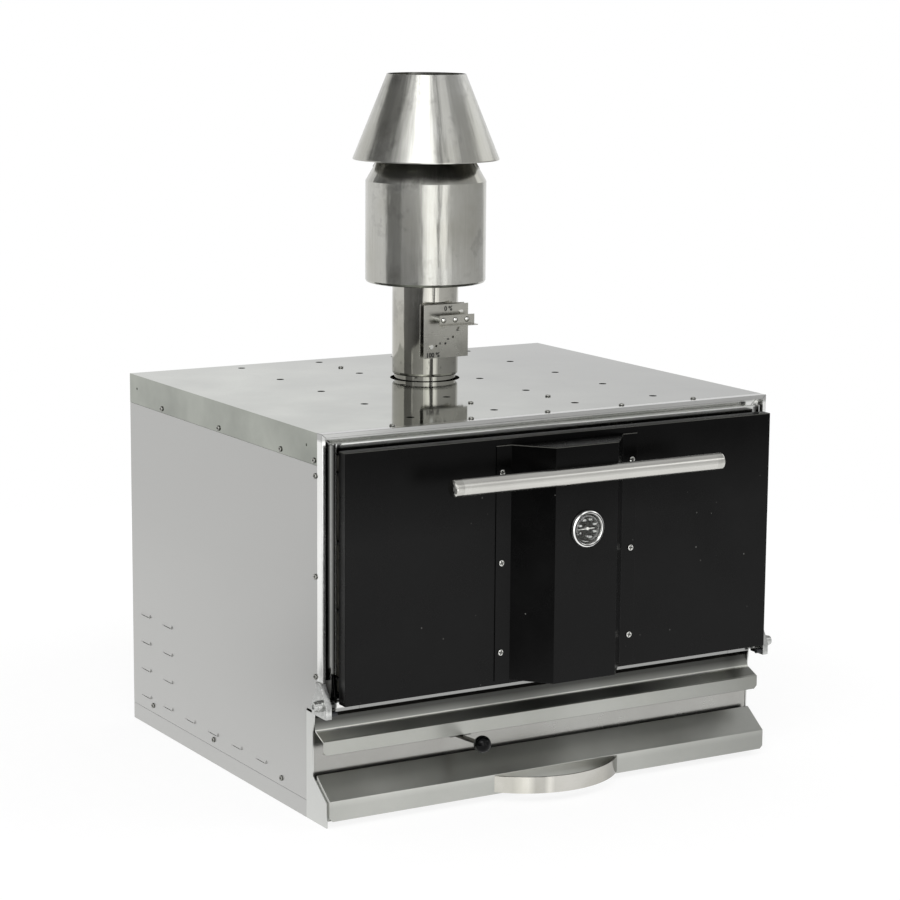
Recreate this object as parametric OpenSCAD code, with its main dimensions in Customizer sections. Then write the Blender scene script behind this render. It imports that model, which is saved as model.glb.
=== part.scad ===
// Charcoal oven with a drop-down door, a damped flue and an ash drawer.
// +X is right, +Y is back and +Z is up. The origin is on the floor, under the middle of the body.

/* [Body] */
// Width of the body across its side panels
body_w = 900; // [840:10:980]
// Depth of the lid, front edge to back edge
body_d = 748; // [720:4:820]
// Height of the lid's top face above the floor
body_h = 663; // [650:1:700]
// Thickness of the casing sheet
sheet_t = 2; // [1.5:0.1:2.4]
// Height of the base tray's walls
base_h = 30; // [24:1:36]
// Height of the lid's side and back flanges
lid_flange_h = 54; // [46:1:64]
// Depth of the joggle that the lid's flange laps over
lap_h = 36; // [20:1:40]
// Seam left between two casing sheets
seam = 0.4; // [0.3:0.1:0.8]

/* [Lid holes] */
// Diameter of a vent hole in the lid
vent_d = 14; // [8:1:18]
// Distance between two columns of vent holes
vent_dx = 166; // [150:1:180]
// Distance of the first row from the lid's front edge
vent_front = 66; // [50:1:80]
// Distance of the last row of vent holes in front of the lid's back edge
vent_back = 38; // [30:1:60]
// Columns of vent holes
vent_cols = 4; // [2:1:5]
// Rows of vent holes
vent_rows = 5; // [3:1:5]

/* [Screws] */
// Head diameter of the casing screws
screw_head_d = 9; // [7:0.5:10]
// Head height of the casing screws
screw_head_h = 2.6; // [1.5:0.1:4]
// Screws along the lid's front edge
lid_screw_count = 5; // [3:1:7]
// Distance between two of the lid's front screws
lid_screw_dx = 153; // [100:1:170]

/* [Louvres] */
// Length of a pressed louvre in the side panels
louvre_l = 38; // [24:1:60]
// Height of a louvre
louvre_h = 7; // [5:0.5:12]
// How far a louvre stands out
louvre_out = 2.6; // [1.5:0.1:5]
// Distance between louvres along the panel
louvre_dy = 96; // [80:1:100]
// Distance between louvres up the panel
louvre_dz = 52; // [30:1:60]
// Louvres in the bottom row
louvre_row = 6; // [3:1:6]
// Height of the bottom row of louvres
louvre_z = 61; // [50:1:80]

/* [Front frame] */
// How far the front frame stands out from the lid's front edge
frame_out = 17; // [14:1:22]
// Gap in the joints between the front frame's rails
frame_joint = 0.3; // [0.1:0.1:1]
// Width of the frame's outer rim
rim_t = 7; // [5:0.5:9]
// Width of the groove inside the rim
groove_w = 18; // [16:0.5:22]
// Thickness of the sheet at the groove's bottom
groove_back_t = 2; // [1.5:0.5:4]
// Width of the frame beside the mouth of the oven
mouth_side = 70; // [64:2:110]
// Height of the mouth's bottom edge above the floor
mouth_z = 236; // [226:1:250]
// Width of the frame above the mouth
mouth_over = 63; // [50:1:90]
// Height of the frame's lower edge above the floor
sill_z = 194; // [192:1:200]
// Width of the door seal
seal_w = 10; // [6:1:14]
// How far the door seal stands out of the frame
seal_out = 2; // [1:0.5:3]

/* [Door hinge] */
// Height of the hinge axis above the floor
hinge_z = 209; // [207:1:212]
// Distance of the hinge axis in front of the lid's front edge
hinge_out = 21; // [21:0.5:23]
// Diameter of the hinge bolts
hinge_bolt_d = 12; // [8:1:14]
// Radial clearance of the hinge bolts in their bores
hinge_fit = 0.05; // [0.03:0.01:0.1]
// Outer diameter of the hinge hubs
hinge_hub_d = 20; // [18:0.5:21]
// Thickness of the hinge brackets
bracket_t = 11; // [8:0.5:14]
// Length of the outer bush beside each bracket
bush_l = 10; // [6:1:18]
// Height of the brackets' top above the floor
bracket_top_z = 245; // [240:1:255]
// Distance of the brackets' nose in front of the lid's front edge
bracket_nose = 38; // [36:1:42]
// Height of the brackets' lower edge above the floor
bracket_z = 188; // [186:1:190]
// Length of the tab that laps the side panel
bracket_tab_l = 12; // [8:1:20]

/* [Door] */
// Gap between the frame's rim and the door's side
door_side_gap = 14; // [12:0.5:16]
// Gap between the frame's rim and the door's top
door_top_gap = 9; // [6:0.5:12]
// How far the stainless liner stands above the black pan
liner_proud = 10; // [6:0.5:14]
// Distance of the door's lower edge above the hinge axis
door_lift = 3; // [2:0.5:4]
// Clearance between the closed door and its seal
seal_gap = 0.3; // [0.2:0.1:0.8]
// Depth of the stainless liner tray
liner_d = 6.7; // [5:0.1:8]
// Depth of the slot between liner and pan
slot_d = 10; // [6:0.5:12]
// Depth of the black pan
pan_d = 22; // [16:0.5:26]
// Width of the pan's inward return
pan_return = 8; // [4:1:12]
// Clearance round the door's insulation
wool_gap = 1; // [0.5:0.5:3]

/* [Door cover] */
// Width of the cover's front face
cover_face_w = 125; // [110:1:140]
// Width of the cover at its foot
cover_foot_w = 230; // [210:1:250]
// Width of each fixing flange
cover_flange_w = 27; // [22:1:32]
// How far the cover stands out of the door
cover_out = 63; // [56:1:68]
// Distance of the cover's top below the pan's top
cover_drop = 11; // [6:1:20]
// Distance of the cover's foot above the pan's lower edge
cover_rise = 7; // [4:1:20]
// Distance of the first cover screw below the pan's top
cover_screw_drop = 58; // [45:1:70]
// Distance between two cover screws
cover_screw_dz = 155; // [120:1:160]

/* [Door handle] */
// Diameter of the handle tube
handle_d = 30; // [26:1:32]
// Length of the handle with its caps
handle_l = 546; // [460:2:600]
// Length of the tube end caps
cap_l = 19; // [12:1:30]
// Height of the dome on a cap
cap_dome = 6; // [3:0.5:8]
// Distance of the handle's axis in front of the cover
handle_out = 9; // [8:0.5:12]
// Distance of the handle's axis below the pan's top
handle_drop = 61; // [50:1:70]
// Distance between the handle's two inner posts
post_dx = 80; // [60:2:90]
// Diameter of a handle post
post_d = 16; // [10:1:20]

/* [Thermometer] */
// Diameter of the thermometer's bezel
thermo_d = 64; // [54:1:70]
// Depth of the bezel
thermo_out = 8; // [7:0.5:12]
// Wall of the bezel at its rim
bezel_t = 4; // [3:0.5:6]
// Distance of the thermometer below the pan's top
thermo_drop = 155; // [140:1:175]
// Diameter of the probe
probe_d = 9; // [6:0.5:10]
// How far the probe reaches past the door's liner
probe_in = 30; // [20:2:36]
// Needle length from its pivot
needle_l = 20; // [16:0.5:22]
// Diameter of the needle's pivot
needle_pin_d = 3; // [2:0.5:4]

/* [Front shelf] */
// Height of the ledge under the door
ledge_z = 176.5; // [174:0.5:178]
// Distance of the ledge's front edge behind the lid's front edge
ledge_y = 20; // [18:1:24]
// Height of the crease in the shelf
crease_z = 156; // [152:0.5:160]
// Distance of the crease behind the lid's front edge
crease_y = 11; // [8:1:14]
// Height of the lip's top edge
lip_z = 144; // [141:0.5:148]
// Height of the lip's face
lip_h = 24; // [20:1:26]
// Distance of the lip in front of the lid's front edge
lip_out = 17; // [15:1:19]
// Distance of the fascia behind the lid's front edge
fascia_y = 18; // [16:1:22]

/* [Cheeks] */
// Thickness of the cheek plates
cheek_t = 2.5; // [2:0.1:3]
// Distance of the cheeks' back edge behind the lid's front edge
cheek_back = 40; // [36:1:46]
// Height of the cheeks
cheek_h = 187; // [184:1:187]
// Distance of the cheeks' foot in front of the lid's front edge
cheek_out = 32; // [28:1:34]
// Height at which the cheeks start to slope back
cheek_slope_z = 43; // [38:1:48]

/* [Air register] */
// Air slots in the fascia
air_slots = 8; // [4:1:8]
// Distance between two air slots
air_dx = 60; // [50:1:70]
// Width of an air slot
air_slot_w = 26; // [16:1:28]
// Height of an air slot
air_slot_h = 12; // [8:1:14]
// Thickness of the register plate
register_t = 1.5; // [1.2:0.1:2]
// Running gap of the register plate in its guides
register_gap = 0.4; // [0.3:0.1:0.6]
// Travel of the register plate
register_travel = 30; // [20:1:32]
// Diameter of the register's rod
rod_d = 8; // [6:0.5:9]
// Distance of the rod to the left of the middle
rod_x = 177; // [150:1:200]
// Length of the rod in front of the lip
rod_out = 50; // [40:1:60]
// Diameter of the ball knob
ball_d = 30; // [24:1:36]

/* [Ash drawer] */
// Height of the drawer front's lower edge
drawer_front_z = 12; // [10:1:14]
// Height of the drawer front's vertical face
drawer_face_h = 35; // [31:1:38]
// Height of the drawer front's back edge
drawer_back_z = 81; // [80:0.5:84]
// Distance of the drawer front in front of the lid's front edge
drawer_out = 39; // [36:1:42]
// Distance of the drawer front's back edge behind the lid's front edge
drawer_back_y = 8; // [4:1:10]
// Space between the casing and the drawer's box on each side
drawer_side = 80; // [70:5:120]
// Length of the drawer's box
drawer_l = 560; // [500:5:600]
// Height of the drawer's box walls
drawer_wall_h = 66; // [50:1:68]
// Travel of the drawer
drawer_travel = 430; // [300:10:450]
// Running gap of the drawer on its runners
drawer_gap = 0.5; // [0.3:0.1:0.8]
// Height of the runners that carry the drawer
runner_h = 4; // [3:0.5:5]
// Chord of the arched drawer handle
pull_w = 254; // [200:2:300]
// How far the arched handle stands out
pull_out = 56; // [45:1:65]
// Height of the handle strip
pull_h = 29; // [22:1:31]
// Thickness of the handle strip
pull_t = 4; // [3:0.5:6]

/* [Firebox] */
// Thickness of the firebox sheet
firebox_t = 3; // [2:0.5:4]
// How far the firebox walls stand outside the mouth
firebox_side = 12; // [8:1:16]
// Height of the firebox floor
floor_z = 150; // [146:1:156]
// Space between the firebox and the casing's back
back_space = 58; // [40:2:90]
// Space between the firebox roof and the lid
roof_space = 47; // [40:1:47]
// Clearance round the insulation slabs
slab_gap = 1; // [0.5:0.5:2]
// Gap in the joints between the insulation slabs
slab_joint = 0.3; // [0.1:0.1:0.8]
// Width of the ash opening in the floor
ash_w = 400; // [300:10:440]
// Depth of the ash opening in the floor
ash_d = 340; // [280:10:360]
// Distance of the ash opening behind the lid's front edge
ash_front = 170; // [150:5:190]
// Thickness of the fire grate
grate_t = 12; // [8:1:16]
// Slots in each half of the fire grate
grate_slots = 13; // [7:1:15]

/* [Racks] */
// Height of the lower rack's runners
rack_z = 300; // [280:5:310]
// Distance between two levels of runners
rack_dz = 90; // [80:5:95]
// Levels of runners
rack_levels = 3; // [2:1:3]
// Width of a runner's shelf
runner_shelf = 22; // [18:1:26]
// Side gap of a rack between the firebox walls
rack_gap = 11; // [10:1:14]
// Space behind a rack
rack_back = 47; // [12:5:140]
// Distance of a rack behind the firebox's lower front wall
rack_front = 4; // [3:1:20]
// Side of the square bar of a rack's frame
rack_bar = 10; // [8:1:12]
// Diameter of a rack's wires
rack_wire_d = 6; // [5:0.5:7]
// Wires in a rack
rack_wires = 23; // [15:1:29]

/* [Flue] */
// Distance of the flue's axis to the right of the middle
flue_x = 12; // [0:1:20]
// Distance of the flue's axis behind the lid's front edge
flue_back = 448; // [430:1:470]
// Outer diameter of the flue pipe
pipe_d = 122; // [116:1:128]
// Wall of the flue pipe
pipe_t = 1.5; // [1:0.1:2]
// Gap between the pipe's foot and the lid
pipe_lift = 9; // [6:1:14]
// Length of the flue pipe
pipe_l = 214; // [200:1:230]
// Gap between the spigot and the pipe's rolled foot
spigot_gap = 0.5; // [0.3:0.1:1]
// Radial gap round the flue in the lid
lid_hole_gap = 6; // [4:0.5:8]
// Outer diameter of the spark arrester's drum
drum_d = 222; // [200:1:240]
// Height of the drum's floor above the lid
drum_z = 179; // [170:1:184]
// Height of the drum's straight wall
drum_h = 186; // [170:1:200]
// Height of the drum's conical shoulder
shoulder_h = 52; // [44:1:60]
// Diameter of the opening in the drum's shoulder
neck_d = 162; // [150:1:170]
// Bottom diameter of the conical hat
hat_d = 269; // [250:1:290]
// Top diameter of the conical hat
hat_top_d = 145; // [130:1:160]
// Height of the hat
hat_h = 155; // [140:1:170]
// Height of the hat's bottom edge above the drum's straight wall
hat_lift = 39; // [34:1:44]
// Diameter of the spark baffle inside the drum
baffle_d = 164; // [150:1:176]
// Height of the spark baffle
baffle_h = 70; // [50:1:90]
// Height of the baffle's lower edge above the drum's floor
baffle_lift = 58; // [50:1:64]

/* [Damper] */
// Height of the damper's shaft above the lid
damper_z = 119; // [110:1:126]
// Distance of the damper's shaft to the left of the flue's axis
damper_off = 20.5; // [16:0.5:22]
// Diameter of the damper's blade
blade_d = 106; // [98:1:107]
// Thickness of the damper's blade
blade_t = 3; // [2:0.5:4]
// Diameter of the damper's shaft
shaft_d = 10; // [8:0.5:11]
// Radial clearance of the shaft in its bores
shaft_fit = 0.05; // [0.03:0.01:0.1]
// Width of the damper's guide plates
plate_w = 93; // [88:1:100]
// Height of the damper's guide plates
plate_h = 98; // [92:1:104]
// Thickness of the guide plates
plate_t = 1.5; // [1.5:0.1:2]
// Space between the two guide plates
plate_space = 13; // [10:1:16]
// Distance of the lever in front of the guide plate
lever_out = 19; // [16:1:24]
// Length of the lever from the shaft's axis
lever_l = 69; // [60:1:76]
// Radius of the arc of detent holes
detent_r = 50; // [46:0.5:52]

/* [Hidden] */
$fn = 64;

half_w = body_w / 2;
front_y = -body_d / 2;
back_y = body_d / 2;
vent_dy = (body_d - vent_front - vent_back) / (vent_rows - 1);
eps = 0.01;

frame_y = front_y - frame_out;
rim_in = half_w - rim_t;
face_half = rim_in - groove_w;
face_top = body_h - rim_t - groove_w + 5;
mouth_half = half_w - mouth_side;
mouth_top = body_h - mouth_over;

hinge_y = front_y - hinge_out;
bracket_in = rim_in;
bracket_out = rim_in + bracket_t;
bolt_end = bracket_out + bush_l;

door_half = rim_in - door_side_gap;
liner_back = frame_y - seal_out - seal_gap;
liner_front = liner_back - liner_d;
pan_back = liner_front - slot_d;
pan_front = pan_back - pan_d;
door_z = hinge_z + door_lift;
liner_top = body_h - rim_t - door_top_gap;
pan_top = liner_top - liner_proud;
wool_half = door_half - sheet_t - pan_return - wool_gap;
wool_z = door_z + sheet_t + pan_return + wool_gap;
wool_top = pan_top - sheet_t - pan_return - wool_gap;

cover_y = pan_front - cover_out;
cover_z = door_z + cover_rise;
cover_top = pan_top - cover_drop;
cover_screw_x = cover_foot_w / 2 + cover_flange_w * 0.6;
handle_y = cover_y - handle_out;
handle_z = pan_top - handle_drop;
thermo_z = pan_top - thermo_drop;
dial_t = 2;
needle_t = 1;
needle_y = cover_y - dial_t - 1.2;
glass_t = 1.5;
glass_y = needle_y - needle_t - 1.2;

shelf_half = half_w - cheek_t - seam;
fascia_top = crease_z - 4;
register_y = front_y + fascia_y + sheet_t + register_gap;
air_z = 128;
register_z = 104;
register_top = 142;
rod_z = 113;
rod_tilt = 3.5;
rod_l = lip_out + fascia_y + sheet_t + register_gap + rod_out;
slot_margin = 6;

drawer_half = half_w - drawer_side;
drawer_z = sheet_t + runner_h + drawer_gap;
drawer_box_y = front_y + drawer_back_y;
drawer_face_y = front_y - drawer_out;
drawer_top = drawer_z + drawer_wall_h;

firebox_half = mouth_half + firebox_side;
step_gap = 2;
roof_z = body_h - roof_space;
firebox_back = back_y - back_space;
ash_y = front_y + ash_front;
chute_z = drawer_top + 8;
rack_half = firebox_half - firebox_t - rack_gap;
step_y = front_y + cheek_back + step_gap;
rack_y = step_y + rack_front;
rack_d = firebox_back - firebox_t - rack_back - rack_y;

flue_y = front_y + flue_back;
pipe_r = pipe_d / 2;
pipe_z = body_h + pipe_lift;
spigot_r = pipe_r - pipe_t - 2.5;
drum_floor = body_h + drum_z;
drum_top = drum_floor + drum_h;
drum_rim = 5;
hat_z = drum_top + hat_lift;
damper_h = body_h + damper_z;
shaft_x = flue_x - damper_off;
back_plate_y = flue_y - pipe_r - plate_t;
front_plate_y = back_plate_y - plate_space - plate_t;
lever_y = front_plate_y - lever_out;
plate_z = damper_h + 26 - plate_h;
lever_t = 2;
lever_web_h = 19;
lever_flange = 13;

louvre_back = 60;
panel_foot_z = bracket_z + 3 + seam;
panel_top = body_h - lid_flange_h - seam;
back_slot_w = 40;
back_slot_h = 6;
back_slot_z = 90;
back_slot_dx = 60;
back_slot_dz = 18;
lift_hole_d = 5;
lift_hole_drop = 25;
lift_hole_front = 37;
lift_hole_back = 32;
front_screw_in = 6;
flue_screw_x = 80;
flue_screw_y = [149, 628];
flange_screw_y = [11, 132, 369, 607];
edge_screw_z = [252, 422, 591];
foot_screw_y = [132, 399, 660];
seal_inset = 10;
seal_root = 5;
seal_fit = 0.2;
tab_drop = 15;
tab_h = 20;
lip_return = 12;
shelf_miter = 1.5;
corner_cut = 8;
chute_drop = 8;
slab_lift = 8;
slab_low = sill_z + slab_lift;
slab_top = body_h - sheet_t - slab_gap - 2;
slab_front = front_y + sheet_t + 1;
grate_margin = 12;
grate_edge = 10;
guide_end = 20;
guide_root = 6;
guide_lip = 5;
runner_t = 2.5;
spacer_x1 = 31;
spacer_z1 = 11;
spacer_x2 = 11;
spacer_z2 = 51;
hub_l = 72;
toe_lift = 15;
bolt_head_h = 3;
runner_drop = 18;
tray_lip = 24;
ear_t = 5;
ear_bend = 20;
ear_h = 52;
spacer_end = 40;
collar_w = 20;
stop_y = hinge_y - 11;
stop_d = 8;
spacer_d = 7;
strut_w = 16;
strut_t = 2.2;
rivet_x = [4, 28.5, 53];

steel = [0.74, 0.74, 0.72];
brushed = [0.66, 0.66, 0.64];
bright = [0.85, 0.85, 0.84];
black = [0.12, 0.12, 0.12];
iron = [0.22, 0.21, 0.2];
wool = [0.9, 0.88, 0.8];

module box(x0, x1, y0, y1, z0, z1) {
    translate([x0, y0, z0]) cube([x1 - x0, y1 - y0, z1 - z0]);
}

// A rod along X, Y or Z
module rod_x(x0, x1, y, z, d) {
    translate([x0, y, z]) rotate([0, 90, 0]) cylinder(h = x1 - x0, d = d);
}

module rod_y(x, y0, y1, z, d) {
    translate([x, y1, z]) rotate([90, 0, 0]) cylinder(h = y1 - y0, d = d);
}

module rod_z(x, y, z0, z1, d) {
    translate([x, y, z0]) cylinder(h = z1 - z0, d = d);
}

// An outline drawn in Y and Z, made solid from x0 to x1
module across_x(x0, x1) {
    translate([x0, 0, 0]) rotate([90, 0, 90]) linear_extrude(x1 - x0) children();
}

// An outline drawn in X and Z, made solid from y0 to y1
module across_y(y0, y1) {
    translate([0, y1, 0]) rotate([90, 0, 0]) linear_extrude(y1 - y0) children();
}

// The same thing on the left and on the right
module both_sides() {
    children();
    mirror([1, 0, 0]) children();
}

// A pan-head screw on a face that looks along -Z of its own frame's +Z
module screw_head() {
    rotate_extrude() polygon([[0, 0], [screw_head_d / 2, 0], [screw_head_d / 2, 0.8],
        [screw_head_d / 3, screw_head_h * 0.85], [screw_head_d / 6, screw_head_h],
        [screw_head_d / 6, screw_head_h - 1], [0, screw_head_h - 1]]);
}

// Body casing

module base_tray() color(steel) {
    box(-half_w + cheek_t + seam, half_w - cheek_t - seam, front_y, back_y, 0, sheet_t);
    both_sides() box(half_w - sheet_t, half_w, front_y + cheek_back + seam, back_y, 0, base_h);
    both_sides() box(half_w - cheek_t - seam - eps, half_w - sheet_t + eps,
        front_y + cheek_back + seam, back_y, 0, sheet_t);
    box(-half_w, half_w, back_y - sheet_t, back_y, 0, base_h);
}

module louvre() {
    translate([0, -louvre_l / 2, 0]) rotate([90, 0, 0]) mirror([0, 0, 1])
        linear_extrude(louvre_l) polygon([[-eps, 0], [louvre_out, -louvre_h * 0.7],
            [louvre_out, -louvre_h], [-eps, -louvre_h]]);
}

module louvre_slot() {
    box(-sheet_t - 1, louvre_out + 1, -louvre_l / 2 + 2, louvre_l / 2 - 2, -louvre_h - 1,
        -louvre_h + 1.8);
}

function louvre_places() = concat(
    [for (i = [0:louvre_row - 1]) [back_y - louvre_back - i * louvre_dy, louvre_z]],
    [for (i = [0:1], k = [1:3])
        [back_y - louvre_back - i * louvre_dy, louvre_z + k * louvre_dz]]);

module side_panel() color(steel) {
    difference() {
        union() {
            across_x(half_w - sheet_t, half_w) polygon([
                [front_y + cheek_back + seam, base_h + seam], [back_y, base_h + seam],
                [back_y, panel_top], [front_y, panel_top], [front_y, panel_foot_z],
                [front_y + cheek_back + seam, panel_foot_z]]);
            box(half_w - 2 * sheet_t, half_w - sheet_t, front_y + sheet_t,
                back_y - 2 * sheet_t - seam, panel_top - lap_h / 2, panel_top + lap_h);
            box(half_w - 2 * sheet_t, half_w - sheet_t + eps, front_y + sheet_t,
                back_y - 2 * sheet_t - seam, panel_top - lap_h / 2, panel_top - eps);
            box(face_half, half_w - sheet_t + eps, front_y, front_y + sheet_t, panel_foot_z,
                panel_top);
            for (p = louvre_places()) translate([half_w, p[0], p[1]]) louvre();
        }
        for (p = louvre_places()) translate([half_w, p[0], p[1]]) louvre_slot();
    }
}

module left_side_panel() mirror([1, 0, 0]) side_panel();
module right_side_panel() side_panel();

module back_panel() color(steel) {
    difference() {
        box(-half_w + sheet_t + seam, half_w - sheet_t - seam, back_y - sheet_t, back_y,
            base_h + seam, panel_top);
        for (i = [-4:4], k = [0:2])
            translate([i * back_slot_dx, back_y, back_slot_z + k * back_slot_dz])
                box(-back_slot_w / 2, back_slot_w / 2, -sheet_t - 1, 1, 0, back_slot_h);
    }
    box(-half_w + 2 * sheet_t + seam, half_w - 2 * sheet_t - seam, back_y - 2 * sheet_t,
        back_y - sheet_t, panel_top - lap_h / 2, panel_top + lap_h);
    box(-half_w + 2 * sheet_t + seam, half_w - 2 * sheet_t - seam, back_y - 2 * sheet_t,
        back_y - sheet_t + eps, panel_top - lap_h / 2, panel_top - eps);
}

module lid() color(steel) {
    top = body_h;
    foot = body_h - lid_flange_h;
    difference() {
        union() {
            box(-half_w, half_w, front_y, back_y, top - sheet_t, top);
            both_sides() box(half_w - sheet_t, half_w, front_y, back_y, foot, top - sheet_t + eps);
            box(-half_w, half_w, back_y - sheet_t, back_y, foot, top - sheet_t + eps);
        }
        for (i = [0:vent_cols - 1], k = [0:vent_rows - 1])
            rod_z(flue_x + (i - (vent_cols - 1) / 2) * vent_dx, front_y + vent_front + k * vent_dy,
                top - sheet_t - 1, top + 1, vent_d);
        rod_z(flue_x, flue_y, top - sheet_t - 1, top + 1, 2 * (spigot_r + lid_hole_gap + 1.5));
        both_sides() for (y = [front_y + lift_hole_front, back_y - lift_hole_back])
            rod_x(half_w - sheet_t - 1, half_w + 1, y, body_h - lift_hole_drop, lift_hole_d);
    }
}

// Screws along the lid's front edge, and four over the inner brackets
module lid_screws() {
    for (i = [0:lid_screw_count - 1])
        translate([(i - (lid_screw_count - 1) / 2) * lid_screw_dx, front_y + front_screw_in,
            body_h]) screw_head();
    for (d = [-1, 1], y = flue_screw_y)
        translate([flue_x + d * flue_screw_x, front_y + y, body_h]) screw_head();
}

module side_screws() both_sides() {
    for (y = flange_screw_y) translate([half_w, front_y + y, body_h - lid_flange_h + 7])
        rotate([0, 90, 0]) screw_head();
    for (z = edge_screw_z) translate([half_w, front_y + front_screw_in, z]) rotate([0, 90, 0])
        screw_head();
    for (y = foot_screw_y) translate([half_w, front_y + y, base_h + 14]) rotate([0, 90, 0])
        screw_head();
}

module casing_screws() color(bright) {
    lid_screws();
    side_screws();
}

// Front frame and door seal

module front_frame() color(bright) difference() {
    box(-half_w, half_w, frame_y, front_y, sill_z, body_h);
    difference() {
        box(-rim_in, rim_in, frame_y - 1, front_y - groove_back_t, sill_z - 1, body_h - rim_t);
        box(-face_half, face_half, frame_y - 2, front_y, sill_z - 2, face_top);
    }
    both_sides() box(face_half, half_w + 1, frame_y - 1, front_y + 1, sill_z - 1,
        bracket_top_z + seam);
    box(-mouth_half, mouth_half, frame_y - 1, front_y + 1, mouth_z, mouth_top);
    seal_ring(seal_fit, frame_y - 1, frame_y + seal_root);
    both_sides() frame_joints();
}

// The fine gaps where the top rail is mitred and the sill butts against the posts
module frame_joints() {
    rise = mouth_over / mouth_side;
    across_y(frame_y - 1, front_y + 1) polygon([[mouth_half - 1, mouth_top - rise],
        [half_w + 1, body_h + rise], [half_w + 1, body_h + rise + frame_joint],
        [mouth_half - 1, mouth_top - rise + frame_joint]]);
    box(mouth_half - frame_joint, mouth_half, frame_y - 1, front_y + 1, sill_z - 1, mouth_z + 1);
}

// A square ring round the mouth, g wider than the seal on each side
module seal_ring(g, y0, y1) {
    in_x = mouth_half + seal_inset - g;
    in_z = seal_inset - g;
    w = seal_w + 2 * g;
    difference() {
        box(-in_x - w, in_x + w, y0, y1, mouth_z - in_z - w, mouth_top + in_z + w);
        box(-in_x, in_x, y0 - 1, y1 + 1, mouth_z - in_z, mouth_top + in_z);
    }
}

module door_seal() color(wool) seal_ring(0, frame_y - seal_out, frame_y + seal_root);

// Door hinge

module hinge_bracket() color(bright) difference() {
    union() {
        across_x(bracket_in, bracket_out) polygon([[front_y - seam, bracket_top_z],
            [frame_y, bracket_top_z], [front_y - bracket_nose, hinge_z],
            [front_y - bracket_nose, bracket_z], [front_y - seam, bracket_z]]);
        across_x(half_w + seam, bracket_out) polygon([[front_y - seam - eps, bracket_top_z - tab_drop],
            [front_y - seam - eps, bracket_z], [front_y + bracket_tab_l, bracket_z],
            [front_y + bracket_tab_l, bracket_z + tab_h]]);
    }
    rod_x(bracket_in - 1, bracket_out + 1, hinge_y, hinge_z, hinge_bolt_d + 2 * hinge_fit);
}

module left_hinge_bracket() mirror([1, 0, 0]) hinge_bracket();
module right_hinge_bracket() hinge_bracket();

// Pins inside the brackets, on which the ears of the open door come to rest
module stop_pins() color(bright) both_sides() rod_x(door_half + 2, bracket_in, stop_y,
    hinge_z - hinge_hub_d / 2 - stop_d / 2 + 0.2, stop_d);

module hinge_bushes() color(steel) both_sides() difference() {
    rod_x(bracket_out, bolt_end, hinge_y, hinge_z, hinge_hub_d);
    rod_x(bracket_out - 1, bolt_end + 1, hinge_y, hinge_z, hinge_bolt_d + 2 * hinge_fit);
}

module hinge_bolts() color(bright) both_sides() {
    rod_x(door_half + 1, bolt_end + 3, hinge_y, hinge_z, hinge_bolt_d);
    rod_x(bolt_end, bolt_end + 2, hinge_y, hinge_z, hinge_hub_d - 2);
    difference() {
        rod_x(bolt_end + 2 - eps, bolt_end + 2 + bolt_head_h, hinge_y, hinge_z, hinge_bolt_d * 1.4);
        translate([bolt_end + 2 + bolt_head_h * 0.4, hinge_y, hinge_z]) rotate([0, 90, 0])
            cylinder(h = bolt_head_h, d = hinge_bolt_d * 0.8, $fn = 6);
    }
}

// Front shelf, fascia and cheeks

module front_shelf() color(brushed) difference() {
    across_x(-shelf_half, shelf_half) polygon([[front_y + cheek_back, ledge_z],
        [front_y + ledge_y, ledge_z], [front_y + crease_y, crease_z],
        [front_y - lip_out, lip_z], [front_y - lip_out, lip_z - lip_h],
        [front_y - lip_out + lip_return, lip_z - lip_h],
        [front_y - lip_out + lip_return, lip_z - lip_h + sheet_t],
        [front_y - lip_out + sheet_t, lip_z - lip_h + sheet_t],
        [front_y - lip_out + sheet_t, lip_z - sheet_t],
        [front_y + crease_y + shelf_miter, crease_z - sheet_t],
        [front_y + ledge_y + shelf_miter, ledge_z - sheet_t],
        [front_y + cheek_back, ledge_z - sheet_t]]);
    cut_corners(front_y - lip_out, lip_z - lip_h, lip_return + 2);
}

// Cuts the two lower corners of a face at 45 degrees
module cut_corners(y, z, depth) both_sides() translate([shelf_half, y - 1, z])
    rotate([0, 45, 0]) translate([-corner_cut / 2, 0, -corner_cut / 2])
        cube([corner_cut, depth + 2, corner_cut]);

module fascia() color(steel) difference() {
    box(-shelf_half, shelf_half, front_y + fascia_y, front_y + fascia_y + sheet_t, sheet_t,
        fascia_top);
    box(-drawer_half - 4, drawer_half + 4, front_y + fascia_y - 1,
        front_y + fascia_y + sheet_t + 1, sheet_t - 1, drawer_top + 4);
    for (i = [0:air_slots - 1])
        translate([(i - (air_slots - 1) / 2) * air_dx, 0, 0])
            box(-air_slot_w / 2, air_slot_w / 2, front_y + fascia_y - 1,
                front_y + fascia_y + sheet_t + 1, air_z - air_slot_h / 2, air_z + air_slot_h / 2);
    box(-rod_x - slot_margin, -rod_x + register_travel + slot_margin, front_y + fascia_y - 1,
        front_y + fascia_y + sheet_t + 1, rod_z - slot_margin, rod_z + slot_margin);
}

module cheek(toe) color(steel) across_x(half_w - cheek_t, half_w) polygon([
    [front_y + cheek_back, 0], [front_y + fascia_y, 0], [front_y - cheek_out, toe],
    [front_y - cheek_out, cheek_slope_z],
    [front_y + fascia_y - 1, drawer_back_z - 2], [front_y + fascia_y - 1, ledge_z - 22],
    [front_y + ledge_y - 6, ledge_z - 6], [front_y + ledge_y - 8, cheek_h],
    [front_y + cheek_back, cheek_h]]);

module left_cheek() mirror([1, 0, 0]) cheek(0);
// The right cheek's toe is cut back, so that it hides behind the drawer
module right_cheek() cheek(toe_lift);

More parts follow.
